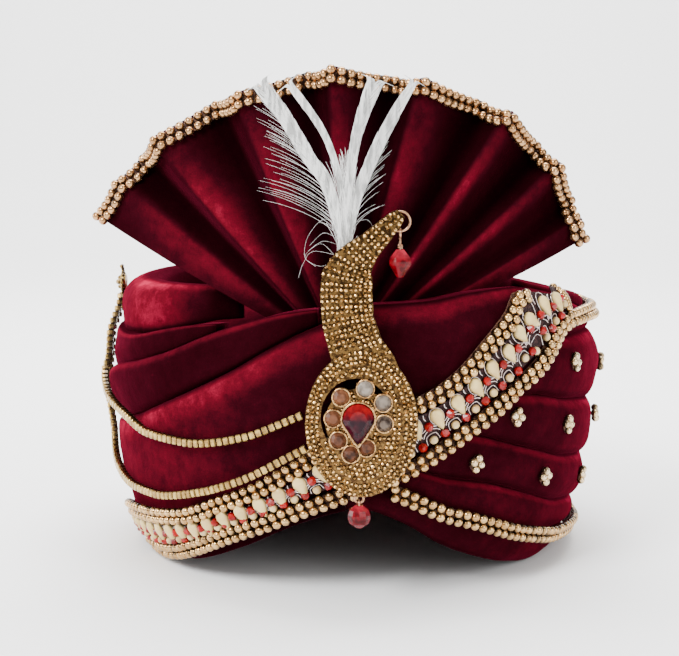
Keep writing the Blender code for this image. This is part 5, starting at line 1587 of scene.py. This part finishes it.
class TURBAN_OT_chains(bpy.types.Operator):
    """Swags the two chains from the hook to the brooch"""

    bl_idname = "turban.chains"
    bl_label = "Chains and hook"

    def execute(self, context):
        scene, finishes = context.scene, scene_finishes()
        jewels = scene.turban_jewels
        gold = finishes["link_gold"]
        for seed, (name, rows) in enumerate((("chain_upper", UPPER_CHAIN), ("chain_lower", LOWER_CHAIN))):
            line_of_chain = [path(*chain_path(rows))]
            size = (jewels.link_pitch * LINK_SHARE, LINK_WIDTH, LINK_WIDTH)
            values = {"Finish": gold, "Pitch": jewels.link_pitch, "Turn": 0.05, "Seed": 30 + seed}
            grow(name + "_links", "path", line_of_chain, values, [name],
                 block(name + "_link", size, LINK_CUT, gold))
            # The dark wire inside each chain is painted shade in the gaps between the links
            values = {"Finish": finishes["dark_net_and_shade"], "Radius": GAP_SHADE_RADIUS, "Sides": 6}
            grow(name + "_core", "wire", line_of_chain, values)
        points = np.array([v.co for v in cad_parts["chain_hook"].data.vertices])
        middle = (points.min(0) + points.max(0)) / 2
        out = np.array(way_out(HOOK_TURN))
        side, up = np.array([-out[1], out[0], 0.0]), np.array([0.0, 0.0, 1.0])
        beads = []
        for ring, count, lift, size in HOOK_RINGS:
            for j in range(count):
                a = 2 * math.pi * (j + 0.5 * (ring > 0.003)) / count
                place = middle + out * lift + (side * math.cos(a) + up * math.sin(a)) * ring
                beads.append(spot(place, out, up, size))
        for j in range(5):
            below = -up * (0.0052 + 0.0016 * j) + side * 0.0008 * (-1) ** j
            above = up * (0.0048 + 0.0013 * min(j, 2)) + side * 0.0012 * (j - 2)
            beads += [spot(middle + out * 0.0002 + away, out, up, 0.75) for away in (below, above)]
        grow("hook_beads", "spots", beads, {"Finish": gold, "Turn": 0.6, "Seed": 33}, (),
             ball("hook_bead", HOOK_BEAD_RADIUS, gold))
        paint("chain_hook", finishes["hook_gold"])
        return {"FINISHED"}


# ---- brooch
def neck_rows(pitch):
    """Rows across the brooch's neck: (x, z, half-width, direction across)."""
    z_of = [row[0] * NECK_HEIGHT for row in NECK]
    middle = rounded([(BROOCH_HALF_WIDTH * x, z, 0) for z, (_, x, _) in zip(z_of, NECK)], 8)
    widths = rounded([(BROOCH_HALF_WIDTH * half, 0, 0) for _, _, half in NECK], 8)[:, 0]
    along = running(np.linalg.norm(np.diff(middle, axis=0), axis=1))
    rows = []
    places = np.arange(0.4 * pitch, along[-1] - 0.2 * pitch, 2.3 * pitch)
    for s in sorted([*places, *(places + pitch)]):
        x, z = (np.interp(s, along, middle[:, k]) for k in (0, 1))
        after, before = (np.array([np.interp(at, along, middle[:, k]) for k in (0, 1)])
                         for at in (s + 0.001, s - 0.001))
        ahead = unit(after - before)
        rows.append((x, z, float(np.interp(s, along, widths)), (ahead[1], -ahead[0])))
    return rows


def in_ellipse(x, z, half_width, half_height, offset=(0.0, 0.0)):
    return ((x - offset[0]) / half_width) ** 2 + ((z - offset[1]) / half_height) ** 2 < 1


def petal_places():
    places = []
    for angle, distance in PETALS:
        a = math.radians(angle)
        places.append((FLOWER_OFFSET[0] + FLOWER_RADIUS * distance * math.cos(a),
                       FLOWER_OFFSET[1] + FLOWER_RADIUS * distance * math.sin(a)))
    return places


def drop_outline(scale=1.0, sides=32):
    """The centre stone's outline, grown by a scale."""
    points = []
    for i in range(sides):
        a = 2 * math.pi * i / sides
        down = max(-math.sin(a), 0.0)
        point = CENTRE_STONE_POINT / CENTRE_STONE_RADIUS
        x = CENTRE_STONE_RADIUS * math.cos(a) * (1 - 0.42 * down**2)
        z = CENTRE_STONE_RADIUS * math.sin(a) * (1 + (point - 1) * down**3)
        points.append((FLOWER_OFFSET[0] + x * scale, FLOWER_OFFSET[1] + CENTRE_STONE_RISE + z * scale))
    return points


def taken(x, z, margin):
    """Whether a stone of the flower is at a place."""
    if any(math.hypot(x - px, z - pz) < STONE_RADIUS + margin for px, pz in petal_places()):
        return True
    cx, cz = FLOWER_OFFSET[0], FLOWER_OFFSET[1] + CENTRE_STONE_RISE
    half_height = CENTRE_STONE_RADIUS if z > cz else CENTRE_STONE_POINT
    return in_ellipse(x, z, CENTRE_STONE_RADIUS + margin, half_height + margin, (cx, cz))


def stud_places(pitch, stud):
    """Every stud of the brooch: (x, z, direction of its row)."""
    found = []
    edge = 0.5 * stud
    ring, count = 0, 0
    while BROOCH_HALF_WIDTH - edge - (ring + 0.4) * pitch > 0.4 * pitch:
        inset = edge + (ring + (0.4 if ring > RIM_ROWS - 1 else 0.0)) * pitch
        a, b = BROOCH_HALF_WIDTH - inset, BROOCH_HALF_HEIGHT - inset
        around = math.pi * (3 * (a + b) - math.sqrt((3 * a + b) * (a + 3 * b)))
        if ring == 0 or ring >= RIM_ROWS:
            count = max(int(around / (pitch * (1.12 if ring == 0 else 1.0))), 6)
        fine = np.linspace(0, 2 * math.pi, 721)
        arc = running(np.hypot(np.diff(a * np.cos(fine)), np.diff(b * np.sin(fine))))
        for i in range(count):
            t = float(np.interp(arc[-1] * i / count, arc, fine))
            x, z = a * math.cos(t), b * math.sin(t)
            in_hole = in_ellipse(x, z, HOLE_HALF_WIDTH + edge, HOLE_HALF_HEIGHT + edge, HOLE_OFFSET)
            on_flower = in_ellipse(x, z, FLOWER_RADIUS - edge, FLOWER_RADIUS - edge, FLOWER_OFFSET)
            if (in_hole and not on_flower) or taken(x, z, 0.0012):
                continue
            found.append((x, z, (-a * math.sin(t), b * math.cos(t))))
        ring += 1
    for x, z, half, across in neck_rows(pitch):
        reach = int(max(half - edge - 0.7 * pitch, 0.0) / pitch)
        for off in [edge - half, *(k * pitch for k in range(-reach, reach + 1)), half - edge]:
            px, pz = x + across[0] * off, z + across[1] * off
            if not in_ellipse(px, pz, BROOCH_HALF_WIDTH + 0.4 * pitch, BROOCH_HALF_HEIGHT + 0.4 * pitch):
                found.append((px, pz, across))
    return found


class TURBAN_OT_brooch(bpy.types.Operator):
    """Studs the brooch in rows and sets its stones in bezels"""

    bl_idname = "turban.brooch"
    bl_label = "Brooch"

    def execute(self, context):
        scene, finishes = context.scene, scene_finishes()
        jewels = scene.turban_jewels
        # The plate's dark brown gold is painted shade in the gaps between the studs
        paint("brooch", brooch_finish("brooch_plate", (0.21, 0.115, 0.035), (0.060, 0.028, 0.009), False))
        rng = random.Random(5)
        studs = []
        for x, z, (dx, dz) in stud_places(jewels.stud_pitch, jewels.stud):
            lift = BROOCH_PLATE + rng.uniform(-0.00015, 0.00025)
            studs.append(spot(on_brooch(x, z, lift), BROOCH_OUT, (dx, 0.0, dz), rng.uniform(0.88, 1.1)))
        half, gold = jewels.stud / 2, finishes["antique_gold"]
        rows = [(-0.0002, half), (0.0004, half), (0.0009, 0.62 * half), (0.0011, 0.3 * half)]
        grow("brooch_studs", "spots", studs, {"Finish": gold, "Turn": 0.40, "Seed": 40}, (),
             turned("stud", rows, 6, gold, False))
        rings = []

        def ring(outline, lift, size):
            points = [on_brooch(x, z, BROOCH_PLATE + lift) for x, z in outline]
            rings.append(path(points, size=size, loop=True))

        for x, z in petal_places():
            circle = [(x + BEZEL_RADIUS * math.cos(a), z + BEZEL_RADIUS * math.sin(a))
                      for a in np.radians(range(0, 360, 15))]
            ring(circle, 0.0012, 1.0)
            ring(circle, 0.0004, 1.25)
        ring(drop_outline(1.09), 0.0016, 1.3)
        ring(drop_outline(1.09), 0.0005, 1.6)
        values = {"Finish": finishes["bezel_gold"], "Radius": BEZEL_WIRE, "Sides": 6}
        grow("stone_bezels", "wire", rings, values)
        outline = [on_brooch(x, z, BROOCH_PLATE + 0.0006) for x, z in drop_outline(1.2, 40)]
        grains = [path(outline, np.tile(tuple(BROOCH_OUT), (len(outline), 1)), loop=True)]
        grow("centre_grains", "path", grains, {"Finish": gold, "Pitch": GRAIN_PITCH, "Turn": 0.5, "Seed": 41},
             (), ball("grain", GRAIN_RADIUS, gold, 1))
        clear, topaz, ruby = (stone_finish(name, *colours, BROOCH_Z + high, BROOCH_Z + low)
                              for name, colours, high, low in STONES)
        for i in range(len(PETALS)):
            paint(f"petal_stone_{i + 1}", clear if i < CLEAR_STONES else topaz)
        paint("centre_stone", ruby)
        return {"FINISHED"}


def glass_drop(name, top, height, radius, rows, sides, finish):
    """A faceted glass bead that hangs below a point."""
    rings = []
    for share, wide in rows:
        ring = []
        for j in range(sides):
            a = 2 * math.pi * (j + 0.5) / sides
            ring.append((top[0] + wide * radius * math.cos(a), top[1] + wide * radius * math.sin(a),
                         top[2] - share * height))
        rings.append(ring)
    return loft(name, rings, finish, False)


class TURBAN_OT_drops(bpy.types.Operator):
    """Hangs the two glass drops"""

    bl_idname = "turban.drops"
    bl_label = "Glass drops"

    def execute(self, context):
        finishes = scene_finishes()
        wire = {"Finish": finishes["copper_wire"], "Radius": WIRE_RADIUS, "Sides": 8}
        ring = on_brooch(*TIP_RING_OFFSET, BROOCH_PLATE / 2)
        low_ring = on_brooch(-0.0009, -BROOCH_HALF_HEIGHT - 0.5 * LOWER_RING, BROOCH_PLATE / 2)
        beads = (("tip_drop", ring, TIP_RING, TIP_EYE, TIP_STEM,
                  TIP_BEAD_RADIUS, TIP_BEAD_HEIGHT, TIP_FACETS, 8, 0.9, 0.60),
                 ("lower_drop", low_ring, LOWER_RING, LOWER_EYE, -0.0007,
                  LOWER_BEAD_RADIUS, LOWER_BEAD_HEIGHT, LOWER_FACETS, 10, 0.98, 0.62))
        for name, middle, radius, eye, stem, wide, tall, rows, sides, high, low in beads:
            eye_middle = middle + Vector((0, 0, 2.2 * WIRE_RADIUS - eye - radius))
            top = eye_middle - Vector((0, 0, eye + stem))
            # The drop's glass gets painted light on its upper part
            finish = stone_finish(name + "_glass", *DROP_GLASS, top.z - (1 - high) * tall,
                                  top.z - (1 - low) * tall)
            mesh = glass_drop(name + "_bead", top, tall, wide, rows, sides, finish)
            piece(name + "_bead", mesh, [name])
            loop = [eye_middle + Vector((0, eye * math.sin(a), eye * math.cos(a)))
                    for a in np.radians(range(0, 360, 20))]
            wires = [path(loop, loop=True),
                     path([top - Vector((0, 0, 0.0012)), top + Vector((0, 0, stem + 0.0002))])]
            hold = [middle + Vector((radius * math.sin(a), 0, radius * math.cos(a)))
                    for a in np.radians(range(0, 360, 15))]
            wires.append(path(hold, size=1.12, loop=True))
            if name == "tip_drop":
                coil = [top + Vector((0.0008 * math.cos(a), 0.0008 * math.sin(a),
                                      0.0004 + 0.00028 * a / math.pi))
                        for a in np.arange(0, 5 * math.pi, math.pi / 5)]
                wires.append(path(coil, size=0.6))
            grow(name + "_wire", "wire", wires, wire)
        return {"FINISHED"}


# ---- plume
def in_metres(rows, pieces):
    """A smooth curve through rows in millimetres."""
    return rounded(0.001 * np.array(rows), pieces)


def bent_hair(start, lean, turn_by, long, steps, depth):
    """A thin hair in the brooch's plane that bends as it grows: lean is from upright, towards +X."""
    x, z = start
    points = []
    for k in range(steps + 1):
        points.append(on_brooch(x, z, depth))
        at = lean + turn_by * (k / steps) ** 0.7
        x += long / steps * math.sin(at)
        z += long / steps * math.cos(at)
    return points


class TURBAN_OT_plume(bpy.types.Operator):
    """Makes the white plume from four feathers, down at their root and loose hairs"""

    bl_idname = "turban.plume"
    bl_label = "Plume"

    def execute(self, context):
        scene = context.scene
        plume = scene.turban_plume
        white = feather_finish(plume.colour)
        rng = random.Random(8)
        vanes, down, hairs = [], [], []
        for order, rows in enumerate(FEATHERS):
            spine = in_metres(rows, 8)
            depth = CLEARANCE + PLUME_THICKNESS * (0.35 + 0.4 * (order % 2))
            arc = running(np.hypot(*np.diff(spine[:, :2], axis=0).T))
            lean = np.unwrap(np.arctan2(np.gradient(spine[:, 0]), np.gradient(spine[:, 1])))
            quill = [on_brooch(x, z, -depth) for x, z, _ in spine]
            hairs.append(path(quill, size=np.linspace(3.4, 1.0, len(spine))))
            for at in np.arange(0.002, arc[-1] - 0.0010, plume.barb_pitch):
                for side in (-1, 1):
                    long, wide = rng.uniform(0.010, 0.017), side * rng.uniform(0.72, 1.02)
                    back = depth + rng.uniform(-0.0005, 0.0005)
                    points = []
                    for u in BARB_STATIONS:
                        here = at + long * u
                        over = max(here - arc[-1] - 0.0006 * wide, 0.0)
                        x, z, half, angle = (float(np.interp(here - over, arc, values))
                                             for values in (spine[:, 0], spine[:, 1], spine[:, 2], lean))
                        off = wide * half * math.sin(0.5 * math.pi * u) ** 1.1 + 0.25 * side * over
                        over = min(over, 0.0010)
                        points.append(on_brooch(x + off * math.cos(angle) + over * math.sin(angle),
                                                z - off * math.sin(angle) + over * math.cos(angle), -back))
                    vanes.append(path(points, size=BARB_SIZES))
        for _ in range(plume.down):
            z = rng.uniform(0.062, 0.092)
            x = -0.0062 + (z - 0.062) * 0.03 + rng.gauss(0, 0.0014)
            depth = CLEARANCE + rng.uniform(0.1, 1.0) * PLUME_THICKNESS
            down.append(path(bent_hair((x, z), math.radians(rng.gauss(-3, 8)), math.radians(rng.gauss(0, 14)),
                                       rng.uniform(0.008, 0.016), 4, -depth), size=np.linspace(1.1, 0.5, 5)))
        left_spine, right_spine = in_metres(FEATHERS[0], 8), in_metres(FEATHERS[3], 8)
        for i in range(plume.hairs):
            depth = -CLEARANCE - rng.uniform(0.2, 0.8) * PLUME_THICKNESS
            share = i / plume.hairs
            if i % 3 < 2:
                x, z, _ = left_spine[int((0.08 + 0.56 * share) * (len(left_spine) - 1))]
                points = bent_hair((x - 0.0008, z), math.radians(-44 + 6 * share + rng.uniform(-3, 3)),
                                   math.radians(-36 + 14 * share + rng.uniform(-5, 5)),
                                   0.036 - 0.016 * share - rng.uniform(0.0, 0.009), 8, depth)
            else:
                x, z, _ = right_spine[int((0.04 + 0.40 * share) * (len(right_spine) - 1))]
                points = bent_hair((x + 0.0006, z), math.radians(26 + rng.uniform(-3, 3)),
                                   math.radians(50 - 42 * share + rng.uniform(-7, 7)),
                                   rng.uniform(0.010, 0.018), 8, depth)
            hairs.append(path(points, size=np.linspace(1.0, 0.4, len(points))))
        for curl in CURLS:
            hairs.append(path([on_brooch(x, z, -0.0008) for x, z in in_metres(curl, 6)], size=0.55))
        barb = {"Finish": white, "Radius": plume.barb / 2, "Sides": 3}
        grow("plume_vanes", "wire", vanes, barb, ["plume"])
        grow("plume_down", "wire", down, barb)
        grow("plume_hairs", "wire", hairs, {"Finish": white, "Radius": plume.hair / 2, "Sides": 4})
        return {"FINISHED"}


# ---- stage
class TURBAN_OT_stage(bpy.types.Operator):
    """Sets out the floor, the lamps and the camera"""

    bl_idname = "turban.stage"
    bl_label = "Stage"

    def execute(self, context):
        scene = context.scene
        settings = scene.turban_stage
        paper = floor_finish(settings.floor_colour)
        half, bend, rise = SWEEP_HALF, SWEEP_BEND, SWEEP_RISE
        rows = [(-half, 0.0), (bend, 0.0)]
        rows += [(bend + rise * math.sin(a), rise - rise * math.cos(a))
                 for a in np.radians(range(10, 91, 10))]
        rows.append((bend + rise, SWEEP_TOP_Z))
        points = [(x, y, z) for y, z in rows for x in (-half, half)]
        faces = [(2 * i, 2 * i + 1, 2 * i + 3, 2 * i + 2) for i in range(len(rows) - 1)]
        sweep = mesh_of("paper_sweep", points, faces, [paper], outward=False)
        new_object("paper_sweep", sweep)
        world = bpy.data.worlds.new("soft_room")
        world.use_nodes = True
        room = world.node_tree.nodes["Background"]
        room.inputs["Color"].default_value = (1.0, 0.99, 0.98, 1.0)
        room.inputs["Strength"].default_value = settings.world
        scene.world = world
        aim, wall = Vector((0.0, 0.0, 0.10)), Vector((0.0, bend + rise, 0.7))
        lamps = [(name, at, size, settings.key * share, aim) for name, at, size, share in LAMPS]
        lamps.append(("paper", (0.0, 0.55, 1.75), 1.6, settings.paper, wall))
        for name, at, size, power, target in lamps:
            lamp = bpy.data.lights.new(name, "AREA")
            lamp.shape, lamp.size, lamp.energy = "SQUARE", size, power
            holder = new_object(name, lamp)
            holder.location = at
            holder.rotation_euler = (target - Vector(at)).to_track_quat("-Z", "Y").to_euler()
        lens = bpy.data.cameras.new("camera")
        lens.sensor_width, lens.lens = SENSOR, SENSOR * FOCAL_PIXELS / PHOTO_PIXELS
        camera = new_object("camera", lens)
        camera.location = (CAMERA_X + SHIFT.x, CAMERA_Y + SHIFT.y, CAMERA_Z)
        camera.rotation_euler = (math.radians(90 - CAMERA_TILT), 0.0, 0.0)
        scene.camera = camera
        return {"FINISHED"}


# ---- the add-on
SETTINGS = {"turban_velvet": TurbanVelvetSettings, "turban_trims": TurbanTrimSettings,
            "turban_lace": TurbanLaceSettings, "turban_jewels": TurbanJewelSettings,
            "turban_plume": TurbanPlumeSettings, "turban_stage": TurbanStageSettings}
OPERATORS = (TURBAN_OT_folds, TURBAN_OT_crown, TURBAN_OT_cap, TURBAN_OT_fan, TURBAN_OT_trims, TURBAN_OT_lace,
             TURBAN_OT_clusters, TURBAN_OT_chains, TURBAN_OT_brooch, TURBAN_OT_drops, TURBAN_OT_plume,
             TURBAN_OT_stage)


class TURBAN_PT_panel(bpy.types.Panel):
    """Lists the turban's pieces and their settings"""

    bl_idname = "TURBAN_PT_panel"
    bl_label = "Tied Turban"
    bl_space_type = "VIEW_3D"
    bl_region_type = "UI"
    bl_category = "Turban"

    def draw(self, context):
        for name, group in SETTINGS.items():
            box = self.layout.box()
            box.label(text=name.replace("turban_", "").title())
            for prop in group.__annotations__:
                box.prop(getattr(context.scene, name), prop)
        for operator in OPERATORS:
            self.layout.operator(operator.bl_idname)


def register():
    for name, group in SETTINGS.items():
        bpy.utils.register_class(group)
        setattr(bpy.types.Scene, name, bpy.props.PointerProperty(type=group))
    for operator in OPERATORS:
        bpy.utils.register_class(operator)
    bpy.utils.register_class(TURBAN_PT_panel)


def unregister():
    bpy.utils.unregister_class(TURBAN_PT_panel)
    for operator in reversed(OPERATORS):
        bpy.utils.unregister_class(operator)
    for name, group in SETTINGS.items():
        delattr(bpy.types.Scene, name)
        bpy.utils.unregister_class(group)


def main():
    register()
    for operator in OPERATORS:
        group, call = operator.bl_idname.split(".")
        getattr(getattr(bpy.ops, group), call)()


if __name__ == "__main__":
    main()
